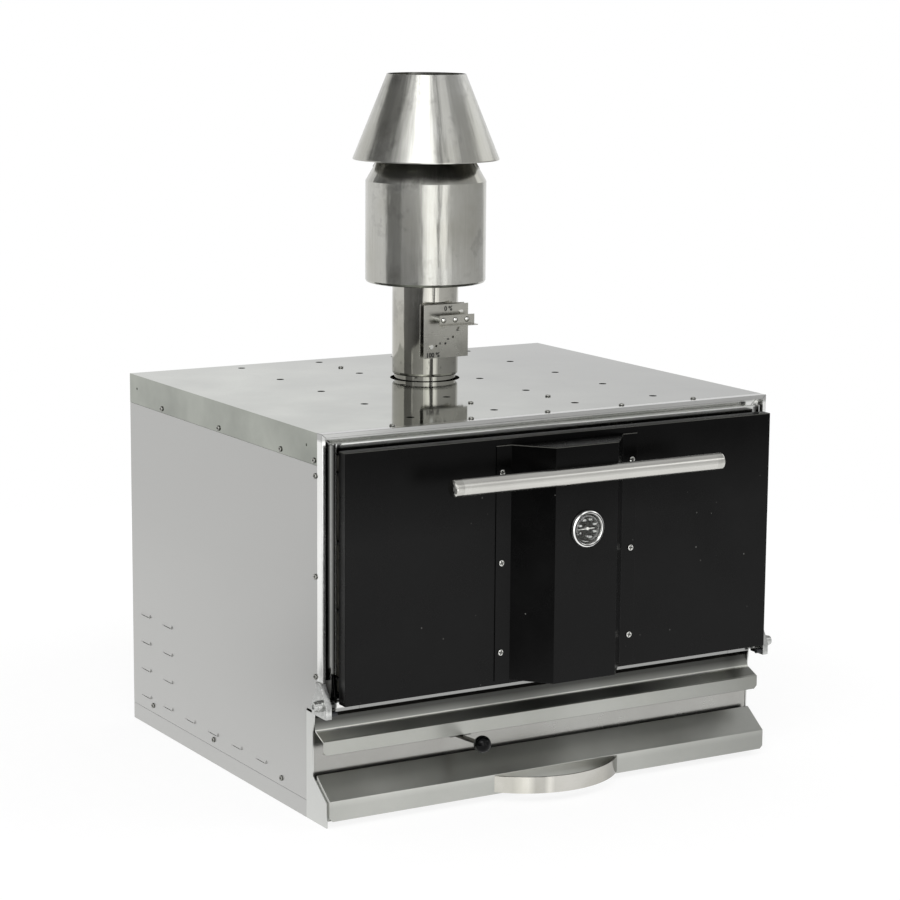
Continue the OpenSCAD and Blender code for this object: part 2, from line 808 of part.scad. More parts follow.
// The two channels that carry the register plate behind the fascia
module register_guides() color(steel) {
    y0 = front_y + fascia_y + sheet_t;
    y1 = register_y + register_t + register_gap;
    w = air_slots * air_dx / 2 + guide_end;
    for (low = [true, false]) {
        z = low ? register_z - register_gap : register_top + register_gap;
        d = low ? -1 : 1;
        across_x(-w, w) polygon([[y0, z], [y0, z + guide_root * d],
            [y1 + sheet_t, z + guide_root * d], [y1 + sheet_t, z - guide_lip * d],
            [y1, z - guide_lip * d], [y1, z]]);
    }
}

// Firebox and what it holds

// A box open to the mouth, stepped back below it to clear the shelf
module firebox() color(iron) difference() {
    box(-firebox_half, firebox_half, front_y + eps, firebox_back, floor_z, roof_z);
    difference() {
        box(-firebox_half + firebox_t, firebox_half - firebox_t, front_y - 1,
            firebox_back - firebox_t, floor_z + firebox_t, roof_z - firebox_t);
        box(-firebox_half, firebox_half, front_y - 2, step_y + firebox_t, floor_z, mouth_z);
    }
    box(-firebox_half - 1, firebox_half + 1, front_y - 1, step_y, floor_z - 1,
        mouth_z - firebox_t);
    box(-ash_w / 2, ash_w / 2, ash_y, ash_y + ash_d, floor_z - 1, floor_z + firebox_t + 1);
    rod_z(flue_x, flue_y, roof_z - firebox_t - 1, roof_z + 1, 2 * (spigot_r + spigot_gap));
}

module fire_grate() color(iron) {
    w = ash_w / 2 + grate_margin;
    z = floor_z + firebox_t;
    pitch = (ash_d - 2 * grate_edge) / grate_slots;
    difference() {
        box(-w, w, ash_y - grate_margin, ash_y + ash_d + grate_margin, z, z + grate_t);
        for (i = [0:grate_slots - 1], s = [-1, 1])
            translate([s * ash_w / 4, ash_y + grate_edge + (i + 0.5) * pitch, z - 1])
                cube_slot(ash_w / 2 - 2 * grate_margin, pitch * 0.5, grate_t + 2);
    }
}

// A slot with round ends, l long along X
module cube_slot(l, w, h) {
    translate([-(l - w) / 2, -w / 2, 0]) cube([l - w, w, h]);
    for (s = [-1, 1]) translate([s * (l - w) / 2, 0, 0]) cylinder(h = h, d = w);
}

module ash_chute() color(iron) difference() {
    box(-ash_w / 2 - firebox_t, ash_w / 2 + firebox_t, ash_y - firebox_t,
        ash_y + ash_d + firebox_t, chute_z, floor_z);
    box(-ash_w / 2, ash_w / 2, ash_y, ash_y + ash_d, chute_z - 1, floor_z + 1);
}

module insulation_top() difference() {
    box(-firebox_half, firebox_half, slab_front, firebox_back, roof_z, slab_top);
    rod_z(flue_x, flue_y, roof_z - 1, body_h, 2 * (spigot_r + collar_w + slab_gap));
}

module insulation_sides() both_sides()
    box(firebox_half + slab_joint, half_w - 2 * sheet_t - slab_gap, slab_front, firebox_back,
        slab_low, slab_top);

module insulation_back()
    box(-half_w + 2 * sheet_t + slab_gap, half_w - 2 * sheet_t - slab_gap,
        firebox_back + slab_joint, back_y - 2 * sheet_t - slab_gap, slab_low, slab_top);

module insulation() color(wool) {
    insulation_top();
    insulation_sides();
    insulation_back();
}

module rack_runners() color(iron) both_sides() {
    x = firebox_half - firebox_t;
    for (k = [0:rack_levels - 1]) {
        z = rack_z + k * rack_dz;
        across_y(rack_y - 2, rack_y + rack_d + 10) polygon([[x, z], [x - runner_shelf, z],
            [x - runner_shelf, z - runner_t], [x - runner_t, z - runner_t],
            [x - runner_t, z - runner_drop], [x, z - runner_drop]]);
    }
}

// A cooking rack that rests on one level of runners
module rack(level) color(steel) {
    z = rack_z + level * rack_dz;
    y1 = rack_y + rack_d;
    box(-rack_half, rack_half, rack_y, rack_y + rack_bar, z, z + rack_bar);
    box(-rack_half, rack_half, y1 - rack_bar, y1, z, z + rack_bar);
    both_sides() box(rack_half - rack_bar, rack_half, rack_y + rack_bar - eps,
        y1 - rack_bar + eps, z, z + rack_bar);
    dx = (2 * rack_half - rack_bar) / (rack_wires + 1);
    for (i = [1:rack_wires])
        rod_y(-rack_half + rack_bar / 2 + i * dx, rack_y + 1, y1 - 1, z + rack_bar / 2,
            rack_wire_d);
    for (f = [1 / 3, 2 / 3]) box(-rack_half + 1, rack_half - 1, rack_y + f * rack_d - 3,
        rack_y + f * rack_d + 3, z, z + rack_bar / 2);
}

module lower_rack() rack(0);
module upper_rack() rack(rack_levels - 1);

module drawer_runners() color(steel) both_sides() {
    x = drawer_half + drawer_gap;
    y0 = front_y + fascia_y + sheet_t + seam;
    y1 = drawer_box_y + drawer_l;
    across_y(y0, y1) polygon([[x - tray_lip, sheet_t], [x + 2, sheet_t],
        [x + 2, drawer_z + tray_lip], [x, drawer_z + tray_lip], [x, sheet_t + runner_h],
        [x - tray_lip, sheet_t + runner_h]]);
}

// Flue, spark arrester and hat

module at_flue() translate([flue_x, flue_y, 0]) children();

module tube_z(d, t, z0, z1) {
    difference() {
        translate([0, 0, z0]) cylinder(h = z1 - z0, d = d, $fn = 96);
        translate([0, 0, z0 - 1]) cylinder(h = z1 - z0 + 2, d = d - 2 * t, $fn = 96);
    }
}

module flue_spigot() color(steel) at_flue() {
    tube_z(2 * spigot_r, 2, roof_z - firebox_t + eps, pipe_z + 16);
    difference() {
        translate([0, 0, roof_z]) cylinder(h = sheet_t, r = spigot_r + collar_w);
        translate([0, 0, roof_z - 1]) cylinder(h = sheet_t + 2, r = spigot_r - 1);
    }
}

// The pipe's foot is rolled in to the spigot
module flue_pipe() color(brushed) difference() {
    at_flue() rotate_extrude($fn = 96) {
        polygon([[pipe_r, pipe_z + 5], [pipe_r, pipe_z + pipe_l], [pipe_r - pipe_t, pipe_z + pipe_l],
            [pipe_r - pipe_t, pipe_z + 5], [spigot_r + spigot_gap + 1, pipe_z + pipe_t],
            [spigot_r + spigot_gap, pipe_z + pipe_t], [spigot_r + spigot_gap, pipe_z],
            [pipe_r - 2, pipe_z], [pipe_r - 0.6, pipe_z + 1.6]]);
    }
    rod_y(shaft_x, flue_y - pipe_r - 5, flue_y + pipe_r + 5, damper_h, shaft_d + 2 * shaft_fit);
}

// Bent edge plate with its detent holes and the shaft's bore
module guide_plate(y0) {
    x0 = flue_x - plate_w / 2;
    difference() {
        box(x0, x0 + plate_w, y0, y0 + plate_t, plate_z, plate_z + plate_h);
        rod_y(shaft_x, y0 - 1, y0 + plate_t + 1, damper_h, shaft_d + 2 * shaft_fit);
        children();
    }
}

function spacer_places() = [[flue_x + spacer_x1, damper_h + spacer_z1],
    [shaft_x - spacer_x2, damper_h - spacer_z2]];

module damper_back_plate() color(brushed) guide_plate(back_plate_y);

module damper_front_plate() color(brushed) guide_plate(front_plate_y) {
    for (a = [0:22.5:90]) rod_y(shaft_x + detent_r * cos(a), front_plate_y - 1,
        front_plate_y + plate_t + 1, damper_h - detent_r * sin(a), 4.2);
}

module damper_spacers() color(bright) for (p = spacer_places()) {
    rod_y(p[0], front_plate_y + plate_t, back_plate_y, p[1], 8);
    translate([p[0], front_plate_y, p[1]]) rotate([90, 0, 0]) cylinder(h = 2, d = 8);
}

module arrester_floor() color(brushed) at_flue() {
    r = drum_d / 2;
    z = drum_floor;
    rotate_extrude($fn = 96) polygon([[pipe_r + 0.1, z + 2], [pipe_r + 0.1, z], [r - 5, z],
        [r - 1.5, z + 1.5], [r, z + drum_rim], [r - 2, z + drum_rim], [r - 5, z + 2]]);
}

module arrester_drum() color(brushed) at_flue() {
    r = drum_d / 2;
    rotate_extrude($fn = 96) polygon([[r - 2, drum_floor + drum_rim],
        [r, drum_floor + drum_rim], [r, drum_top], [r - 2, drum_top]]);
}

module arrester_shoulder() color(brushed) at_flue() {
    r = drum_d / 2;
    neck = neck_d / 2;
    z = drum_top + shoulder_h;
    rotate_extrude($fn = 96) polygon([[r - 2, drum_top], [r, drum_top], [neck, z],
        [neck - 2, z - 0.5]]);
}

module spark_baffle() color(iron) at_flue() {
    z0 = drum_floor + baffle_lift;
    z1 = z0 + baffle_h;
    rotate_extrude($fn = 64) polygon([[0, z1 - 2], [baffle_d / 2 - 2, z1 - 2],
        [baffle_d / 2 - 2, z0], [baffle_d / 2, z0], [baffle_d / 2, z1], [0, z1]]);
    for (a = [30, 150, 270]) rotate([0, 0, a])
        translate([baffle_d / 2 - 2, -8, drum_floor + 2.02]) cube([2, 16, baffle_lift]);
}

module flue_hat() color(brushed) at_flue() {
    z1 = hat_z + hat_h;
    rotate_extrude($fn = 96) polygon([[hat_d / 2, hat_z], [hat_d / 2, hat_z + 2],
        [hat_top_d / 2, z1], [hat_top_d / 2 - 2, z1], [hat_d / 2 - 2.2, hat_z + 2],
        [hat_d / 2 - 2.2, hat_z]]);
}

// Bent straps from the drum's shoulder up to the inside of the hat's wall
module hat_struts() color(steel) at_flue() {
    lo = drum_top + shoulder_h * 0.45;
    mid = drum_top + shoulder_h * 0.88;
    hi = hat_z + hat_h * 0.2;
    end = hat_z + hat_h * 0.33;
    for (a = [45:90:315]) rotate([0, 0, a]) translate([0, strut_w / 2, 0]) rotate([90, 0, 0])
        linear_extrude(strut_w) polygon([[shoulder_r(lo), lo], [shoulder_r(lo) + strut_t, lo],
            [shoulder_r(mid) + strut_t, mid - 1], [hat_in_r(hi), hi], [hat_in_r(end), end],
            [hat_in_r(end) - strut_t, end], [hat_in_r(hi) - strut_t, hi + strut_t],
            [shoulder_r(mid), mid + 1]]);
}

// Radius at height z just outside the drum's shoulder, and just inside the hat
function shoulder_r(z) = drum_d / 2 - (drum_d - neck_d) / 2 * (z - drum_top) / shoulder_h + 0.05;
function hat_in_r(z) = hat_d / 2 - 2.55 - strut_w * strut_w / 8 / (hat_top_d / 2)
    - (hat_d - hat_top_d) / 2 * (z - hat_z - 2) / (hat_h - 2);

// Damper

module damper_shaft() color(bright) {
    rod_y(shaft_x, lever_y + lever_t, flue_y + pipe_r + 3, damper_h, shaft_d);
}

module damper_blade() color(iron) difference() {
    union() {
        at_flue() translate([0, 0, damper_h - blade_t / 2]) cylinder(h = blade_t, d = blade_d);
        rod_y(shaft_x, flue_y - hub_l / 2, flue_y + hub_l / 2, damper_h, shaft_d + 5);
    }
    rod_y(shaft_x, flue_y - pipe_r, flue_y + pipe_r, damper_h, shaft_d + 2 * shaft_fit);
}

module damper_lever() color(brushed) {
    x0 = shaft_x - 4;
    x1 = shaft_x + lever_l;
    z0 = damper_h - 11;
    box(x0, x1, lever_y, lever_y + lever_t, z0, z0 + lever_web_h);
    box(x0, x1, lever_y - lever_flange, lever_y + eps, z0, z0 + 1.6);
}

module lever_rivets() color(bright) for (x = rivet_x)
    translate([shaft_x + x, lever_y, damper_h - 1]) rotate([90, 0, 0])
        cylinder(h = 1.8, d = 6.4);

// Door

module door_pan() color(black) {
    difference() {
        box(-door_half, door_half, pan_front, pan_back, door_z, pan_top);
        box(-door_half + sheet_t, door_half - sheet_t, pan_front + sheet_t, pan_back - sheet_t,
            door_z + sheet_t, pan_top - sheet_t);
        box(-wool_half - wool_gap, wool_half + wool_gap, pan_back - sheet_t - 1, pan_back + 1,
            wool_z - wool_gap, wool_top + wool_gap);
        rod_y(0, pan_front - 1, pan_front + sheet_t + 1, thermo_z, probe_d + 1);
    }
}

module door_liner() color(bright) {
    difference() {
        box(-door_half, door_half, liner_front, liner_back, door_z, liner_top);
        box(-door_half + sheet_t, door_half - sheet_t, liner_front - 1, liner_back - sheet_t,
            door_z + sheet_t, liner_top - sheet_t);
        rod_y(0, liner_back - sheet_t - 1, liner_back + 1, thermo_z, probe_d + 1);
    }
    both_sides() hinge_ear();
}

// The ear on the door's side, with the hub that turns on the hinge bolt
module hinge_ear() {
    difference() {
        union() {
            across_x(door_half - eps, door_half + ear_t) polygon([
                [hinge_y - hinge_hub_d / 2, hinge_z], [hinge_y + hinge_hub_d / 2, hinge_z],
                [liner_back, hinge_z + ear_bend], [liner_back, hinge_z + ear_h],
                [liner_front, hinge_z + ear_h], [liner_front - 4, hinge_z + ear_bend]]);
            rod_x(door_half - eps, rim_in - 2, hinge_y, hinge_z, hinge_hub_d);
        }
        rod_x(door_half - 1, rim_in, hinge_y, hinge_z, hinge_bolt_d + 2 * hinge_fit);
    }
}

// Spacers that hold the liner off the pan
module door_spacers() color(black) both_sides() for (k = [0:3])
    rod_y(wool_half + (door_half - sheet_t - wool_half) / 2 + wool_gap / 2, pan_back,
        liner_back - sheet_t, door_z + spacer_end + k * (pan_top - door_z - 2 * spacer_end) / 3,
        spacer_d);

module door_insulation() color(wool) difference() {
    box(-wool_half, wool_half, pan_front + sheet_t, liner_back - sheet_t, wool_z, wool_top);
    rod_y(0, pan_front, liner_back, thermo_z, probe_d + 2);
}

// The cover's outline in X and Y, grown inward by t
module cover_outline(t) {
    f = cover_face_w / 2;
    g = cover_foot_w / 2;
    polygon([[-g + t * 1.3, pan_front + 1], [-g + t * 1.3, pan_front - eps],
        [-f + t * 0.5, cover_y + t], [f - t * 0.5, cover_y + t], [g - t * 1.3, pan_front - eps],
        [g - t * 1.3, pan_front + 1]]);
}

module door_cover() color(black) difference() {
    union() {
        translate([0, 0, cover_z]) linear_extrude(cover_top - cover_z) cover_outline(0);
        both_sides() box(cover_foot_w / 2 - 2, cover_foot_w / 2 + cover_flange_w,
            pan_front - sheet_t, pan_front + 1, cover_z, cover_top);
    }
    translate([0, 0, cover_z + sheet_t]) linear_extrude(cover_top - cover_z - 2 * sheet_t)
        cover_outline(sheet_t);
    box(-door_half, door_half, pan_front, pan_front + 2, cover_z - 1, cover_top + 1);
    rod_x(-cover_foot_w, cover_foot_w, handle_y, handle_z, handle_d + 0.4);
    rod_y(0, cover_y - 1, cover_y + sheet_t + 1, thermo_z, probe_d + 1);
}

module cover_screws() color(bright) both_sides() for (k = [0:2])
    translate([cover_screw_x, pan_front - sheet_t, pan_top - cover_screw_drop - k * cover_screw_dz])
        rotate([90, 0, 0]) screw_head();

module handle_tube() color(bright) {
    l = handle_l / 2 - cap_l;
    difference() {
        rod_x(-l, l, handle_y, handle_z, handle_d);
        rod_x(-l - 1, l + 1, handle_y, handle_z, handle_d - 4);
    }
}

module handle_caps() color(brushed) both_sides() {
    r = handle_d / 2;
    translate([handle_l / 2 - cap_l, handle_y, handle_z]) rotate([0, 90, 0]) rotate_extrude()
        polygon(concat([[0, -12], [r - 2.1, -12], [r - 2.1, 0], [r, 0], [r, cap_l - cap_dome]],
            [for (a = [15:15:90]) [r * cos(a), cap_l - cap_dome + cap_dome * sin(a)]]));
}

// Posts that hold the tube off the door, inside the cover
module handle_posts() color(steel) both_sides() difference() {
    rod_y(post_dx / 2, handle_y + 1, pan_front, handle_z, post_d);
    rod_x(0, post_dx, handle_y, handle_z, handle_d + 0.1);
}

module thermometer_case() color(bright) translate([0, cover_y, thermo_z]) rotate([90, 0, 0])
    rotate_extrude() {
        r = thermo_d / 2;
        well = r - bezel_t;
        pin = needle_pin_d / 2 + 0.05;
        glass_top = cover_y - glass_y + glass_t;
        polygon([[pin, 0], [r - 2, 0], [r, 2], [r - 1, thermo_out - 2], [well, thermo_out],
            [well - 1.5, glass_top], [well, glass_top], [well, dial_t], [pin, dial_t]]);
    }

module thermometer_glass() color([0.8, 0.9, 0.9])
    rod_y(0, glass_y - glass_t, glass_y, thermo_z, thermo_d - 2 * bezel_t - 0.2);

module thermometer_probe() color(bright) {
    rod_y(0, cover_y, liner_back + probe_in, thermo_z, probe_d);
}

module thermometer_needle() color([0.9, 0.9, 0.88]) {
    translate([0, needle_y, thermo_z]) rotate([90, 8, 0]) linear_extrude(needle_t)
        polygon([[6, -1.6], [6, 1.6], [-needle_l * 0.7, 1], [-needle_l, 0],
            [-needle_l * 0.7, -1]]);
    rod_y(0, needle_y - needle_t / 2, cover_y - dial_t - 0.2, thermo_z, needle_pin_d + 2);
    rod_y(0, needle_y, cover_y - 0.2, thermo_z, needle_pin_d);
}

// Ash drawer

// A folded sheet, open at the back, where the box's front wall closes it
module drawer_front() color(brushed) difference() {
    across_x(-shelf_half, shelf_half) drawer_outline(0, 0);
    across_x(-shelf_half + sheet_t, shelf_half - sheet_t) drawer_outline(sheet_t, 1);
    cut_corners(drawer_face_y, drawer_front_z, sheet_t + 2);
}

// The front's outline, drawn in by t, with its back edge moved back by b
module drawer_outline(t, b) {
    face_top = drawer_front_z + drawer_face_h - t * 0.4;
    fall = (drawer_back_z - drawer_front_z - drawer_face_h) / (drawer_box_y - drawer_face_y);
    polygon([[drawer_box_y + b, drawer_front_z + t],
        [drawer_box_y + b, drawer_back_z - t * 1.3 + fall * b], [drawer_face_y + t, face_top],
        [drawer_face_y + t, drawer_front_z + t]]);
}

module drawer_box() color(iron) difference() {
    box(-drawer_half, drawer_half, drawer_box_y, drawer_box_y + drawer_l, drawer_z, drawer_top);
    box(-drawer_half + sheet_t, drawer_half - sheet_t, drawer_box_y + sheet_t,
        drawer_box_y + drawer_l - sheet_t, drawer_z + sheet_t, drawer_top + 1);
}

// A flat strip bent to an arc, with its ends on the drawer front
module drawer_handle() color(bright) {
    r = (pull_w * pull_w / 4 + pull_out * pull_out) / (2 * pull_out);
    z0 = drawer_front_z + 4;
    translate([0, drawer_face_y - pull_out + r, z0]) difference() {
        cylinder(h = pull_h, r = r, $fn = 180);
        translate([0, 0, -1]) cylinder(h = pull_h + 2, r = r - pull_t, $fn = 180);
        translate([-r - 1, pull_out - r, -1]) cube([2 * r + 2, 2 * r + 2, pull_h + 2]);
    }
}

// Air register

module register_plate() color(steel) {
    w = air_slots * air_dx / 2;
    difference() {
        box(-w, w, register_y, register_y + register_t, register_z, register_top);
        for (i = [0:air_slots - 2])
            translate([(i - (air_slots - 2) / 2) * air_dx, 0, 0])
                box(-air_slot_w / 2, air_slot_w / 2, register_y - 1, register_y + register_t + 1,
                    air_z - air_slot_h / 2, air_z + air_slot_h / 2);
    }
}

// Along the tilted rod, from the register plate's face
module along_rod() translate([-rod_x, register_y, rod_z]) rotate([90 - rod_tilt, 0, 0])
    children();

module register_rod() color(bright) difference() {
    along_rod() translate([0, 0, -rod_d]) cylinder(h = rod_l + rod_d, d = rod_d);
    box(-rod_x - rod_d, -rod_x + rod_d, register_y, register_y + 3 * rod_d, rod_z - 2 * rod_d,
        rod_z + 2 * rod_d);
}

module register_knob() color(black) along_rod() translate([0, 0, rod_l + ball_d / 2 - 2])
    difference() {
        sphere(d = ball_d);
        translate([0, 0, -ball_d / 2 - 1]) cylinder(h = 3, d = rod_d + 0.6);
    }

base_tray();
left_side_panel();
right_side_panel();
back_panel();
lid();
casing_screws();
front_frame();
door_seal();
left_hinge_bracket();
right_hinge_bracket();
stop_pins();
hinge_bushes();
hinge_bolts();
front_shelf();
fascia();
left_cheek();
right_cheek();
register_guides();
firebox();
insulation();
fire_grate();
ash_chute();
rack_runners();
lower_rack();
upper_rack();
drawer_runners();
flue_spigot();
flue_pipe();
damper_back_plate();
damper_front_plate();
damper_spacers();
arrester_floor();
arrester_drum();
arrester_shoulder();
spark_baffle();
flue_hat();
hat_struts();
damper_shaft();
damper_blade();
damper_lever();
lever_rivets();
door_pan();
door_liner();
door_spacers();
door_insulation();
door_cover();
cover_screws();
handle_tube();
handle_caps();
handle_posts();
thermometer_case();
thermometer_glass();
thermometer_probe();
thermometer_needle();
drawer_front();
drawer_box();
drawer_handle();
register_plate();
register_rod();
register_knob();
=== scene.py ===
"""A charcoal oven: its finishes, fine parts, floor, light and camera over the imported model."""

import logging
import math
import random
from dataclasses import dataclass
from enum import Enum
from typing import Any, ClassVar, Iterable, Sequence

import bpy
import numpy as np
from mathutils import Matrix, Vector


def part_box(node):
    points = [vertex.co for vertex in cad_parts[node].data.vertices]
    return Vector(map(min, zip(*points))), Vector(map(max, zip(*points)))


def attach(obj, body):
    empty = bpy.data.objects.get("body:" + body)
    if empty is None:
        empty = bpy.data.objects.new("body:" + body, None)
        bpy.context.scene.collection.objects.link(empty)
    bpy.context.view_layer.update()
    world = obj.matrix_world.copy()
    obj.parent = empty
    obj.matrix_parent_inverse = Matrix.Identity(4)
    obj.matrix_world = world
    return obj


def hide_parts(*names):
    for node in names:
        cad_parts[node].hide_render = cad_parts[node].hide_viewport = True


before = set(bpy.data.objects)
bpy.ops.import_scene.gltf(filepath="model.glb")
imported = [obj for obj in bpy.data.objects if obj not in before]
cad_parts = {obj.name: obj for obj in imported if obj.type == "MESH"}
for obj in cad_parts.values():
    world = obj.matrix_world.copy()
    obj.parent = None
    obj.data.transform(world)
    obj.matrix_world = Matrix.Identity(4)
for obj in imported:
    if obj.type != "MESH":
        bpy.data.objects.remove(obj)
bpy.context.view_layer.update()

MM = 0.001
LOG = logging.getLogger("oven")
Point = tuple[float, float, float]
Profile = Sequence[tuple[float, float]]
Mesh = tuple[list[Vector], list[tuple[int, ...]]]
Socket = bpy.types.NodeSocket
Tree = bpy.types.NodeTree
Value = Socket | float
FORWARD = (0, -1, 0)


# ---------------------------------------------------------------- shader tools


def linear(code: str) -> tuple[float, float, float, float]:
    """Turns an sRGB hex colour into linear RGBA.

    Args:
        code: a colour such as "#b8b8b4".

    Returns:
        The colour in linear light, with an alpha of 1.
    """
    parts = [int(code[i:i + 2], 16) / 255 for i in (1, 3, 5)]
    r, g, b = [c / 12.92 if c <= 0.04045 else ((c + 0.055) / 1.055) ** 2.4 for c in parts]
    return r, g, b, 1.0


def add_node(tree: Tree, kind: str, inputs: dict[Any, Any] | None = None,
             **settings: Any) -> bpy.types.Node:
    """Adds a shader node with its settings, values and links.

    Args:
        tree: the node tree.
        kind: the node's type without "ShaderNode".
        inputs: values or sockets for the node's inputs, by name or index.
        **settings: the node's own properties.

    Returns:
        The new node.
    """
    node = tree.nodes.new("ShaderNode" + kind)
    for name, value in settings.items():
        setattr(node, name, value)
    for key, value in (inputs or {}).items():
        if isinstance(value, Socket):
            tree.links.new(value, node.inputs[key])
        else:
            node.inputs[key].default_value = value
    return node


def new_tree(name: str) -> tuple[bpy.types.Material, Tree]:
    """Makes an empty node material.

    Args:
        name: its name.

    Returns:
        The material and its node tree.
    """
    material = bpy.data.materials.new(name)
    material.use_nodes = True
    material.node_tree.nodes.clear()
    return material, material.node_tree


def ramp(tree: Tree, factor: Socket, *stops: tuple[float, str]) -> Socket:
    """Gives the colour of a ramp.

    Args:
        tree: the node tree.
        factor: the value that runs along the ramp.
        *stops: two places from 0 to 1 with their hex colours.

    Returns:
        The ramp's colour.
    """
    node = add_node(tree, "ValToRGB", {"Fac": factor})
    for element, (position, code) in zip(node.color_ramp.elements, stops):
        element.position = position
        element.color = linear(code)
    return node.outputs["Color"]


def place(tree: Tree) -> Socket:
    """Gives the point's own place on the piece, in metres."""
    return add_node(tree, "TexCoord").outputs["Object"]


def part_of(tree: Tree, at: Socket, axis: str) -> Socket:
    """Gives a place's X, Y or Z."""
    return add_node(tree, "SeparateXYZ", {"Vector": at}).outputs[axis]


def combined(tree: Tree, x: Value, y: Value, z: Value = 0.0) -> Socket:
    """Gives the vector of three values."""
    return add_node(tree, "CombineXYZ", {"X": x, "Y": y, "Z": z}).outputs[0]


def scaled(tree: Tree, at: Socket, scale: Point) -> Socket:
    """Multiplies a place by a factor for each axis."""
    return add_node(tree, "Mapping", {"Vector": at, "Scale": scale}).outputs["Vector"]


def noise(tree: Tree, vector: Socket, scale: float, detail: float = 2.0,
          rough: float = 0.5) -> Socket:
    """Gives a noise with so many features a unit, and its finer layers' number and strength."""
    return add_node(tree, "TexNoise", {"Vector": vector, "Scale": scale, "Detail": detail,
                                       "Roughness": rough}).outputs["Fac"]


def calc(tree: Tree, operation: str, *values: Value) -> Socket:
    """Gives the result of a Math node's operation on one or two values."""
    return add_node(tree, "Math", dict(enumerate(values)), operation=operation).outputs[0]


def span(tree: Tree, value: Socket, low: float, high: float, start: float = 0.3,
         end: float = 0.7) -> Socket:
    """Maps a value that runs from start to end onto low to high."""
    return add_node(tree, "MapRange", {"Value": value, "From Min": start, "From Max": end,
                                       "To Min": low, "To Max": high}).outputs["Result"]


def mixed(tree: Tree, share: Value, first: Any, second: Any, kind: str = "RGBA") -> Socket:
    """Gives the first colour with a share of the second, or two numbers if kind is FLOAT."""
    return add_node(tree, "Mix", {"Factor": share, "A": first, "B": second},
                    data_type=kind).outputs["Result"]


def bumped(tree: Tree, height: Socket, strength: float, depth: float,
           **under: Socket) -> Socket:
    """Gives the normal of a bumpy skin, with its depth in metres, over a broader Normal."""
    return add_node(tree, "Bump", {"Height": height, "Strength": strength, "Distance": depth,
                                   **under}).outputs[0]


def stepped(tree: Tree, at: Socket, height: float, below: float, above: float) -> Socket:
    """Gives one value below a height and another above it, with a soft step."""
    soft = 1 * MM
    return span(tree, part_of(tree, at, "Z"), below, above, height - soft, height + soft)


def banded(tree: Tree, value: Value, at: Socket, axis: str, middle: float, half: float,
           share: float, top: float = math.inf) -> Socket:
    """Multiplies a value by a share within a band on either side of the oven's middle.

    Args:
        tree: the material's node tree.
        value: what is multiplied.
        at: the place on the piece, in metres.
        axis: X, Y or Z.
        middle: the band's distance from 0 on that axis, in metres.
        half: half the band's width in metres.
        share: what the value is multiplied by in the band's middle half.
        top: the height in metres above which the band isn't there.

    Returns:
        The product.
    """
    size = calc(tree, "ABSOLUTE", part_of(tree, at, axis))
    far = calc(tree, "ABSOLUTE", calc(tree, "SUBTRACT", size, middle))
    level = span(tree, far, share, 1.0, half * 0.5, half)
    if math.isfinite(top):
        level = calc(tree, "MAXIMUM", level, stepped(tree, at, top, 0.0, 1.0))
    return calc(tree, "MULTIPLY", value, level)


def drifting(tree: Tree, value: Value, at: Socket, axis: str, start: float, end: float,
             share: float, *heights: float) -> Socket:
    """Multiplies a value by a share that is reached slowly along an axis.

    Args:
        tree: the material's node tree.
        value: what is multiplied.
        at: the place on the piece, in metres.
        axis: X, Y or Z.
        start: where the drift starts on that axis, in metres.
        end: where it has reached the share.
        share: what the value is multiplied by from there on.
        *heights: the lowest and the highest height of the drift in metres, or none.

    Returns:
        The product.
    """
    drift = span(tree, part_of(tree, at, axis), 1.0, share, start, end)
    for height, (below, above) in zip(heights, ((1.0, 0.0), (0.0, 1.0))):
        drift = mixed(tree, stepped(tree, at, height, below, above), drift, 1.0, "FLOAT")
    return calc(tree, "MULTIPLY", value, drift)


# ---------------------------------------------------------------- finishes


class Grain(Enum):
    """The way that a sheet or a tube was brushed.

    Each has its marks a metre along X, Y and Z, or a turn and a metre of height round the flue,
    and the way that they run.
    """

    ALONG_X = ((5.0, 700.0, 700.0), (1, 0, 0))
    ALONG_Y = ((700.0, 5.0, 700.0), (0, 1, 0))
    UP_THE_FLUE = ((70.0, 6.0, 1.0), (0, 0, 1))

    def __init__(self, marks: Point, way: Point) -> None:
        """Keeps the marks and their way."""
        self.marks = marks
        self.way = way


@dataclass(frozen=True)
class Finish:
    """A named surface finish that builds its material once.

    Attributes:
        name: the material's name.
        colour: its sRGB hex colour.
        rough: its mean roughness.
    """

    name: str
    colour: str
    rough: float

    def material(self) -> bpy.types.Material:
        """Builds the finish's material on first use.

        Returns:
            The material.
        """
        found = bpy.data.materials.get(self.name)
        if found:
            return found
        material, tree = new_tree(self.name)
        shader = add_node(tree, "BsdfPrincipled", self.surface(tree, place(tree)))
        add_node(tree, "OutputMaterial", {"Surface": shader.outputs[0]})
        return material

    def surface(self, tree: Tree, at: Socket) -> dict[str, Any]:
        """Works out what the finish's shader needs.

        Args:
            tree: the material's node tree.
            at: the place on the piece, in metres.

        Returns:
            Values or sockets for the shader's inputs, by name.
        """
        raise NotImplementedError


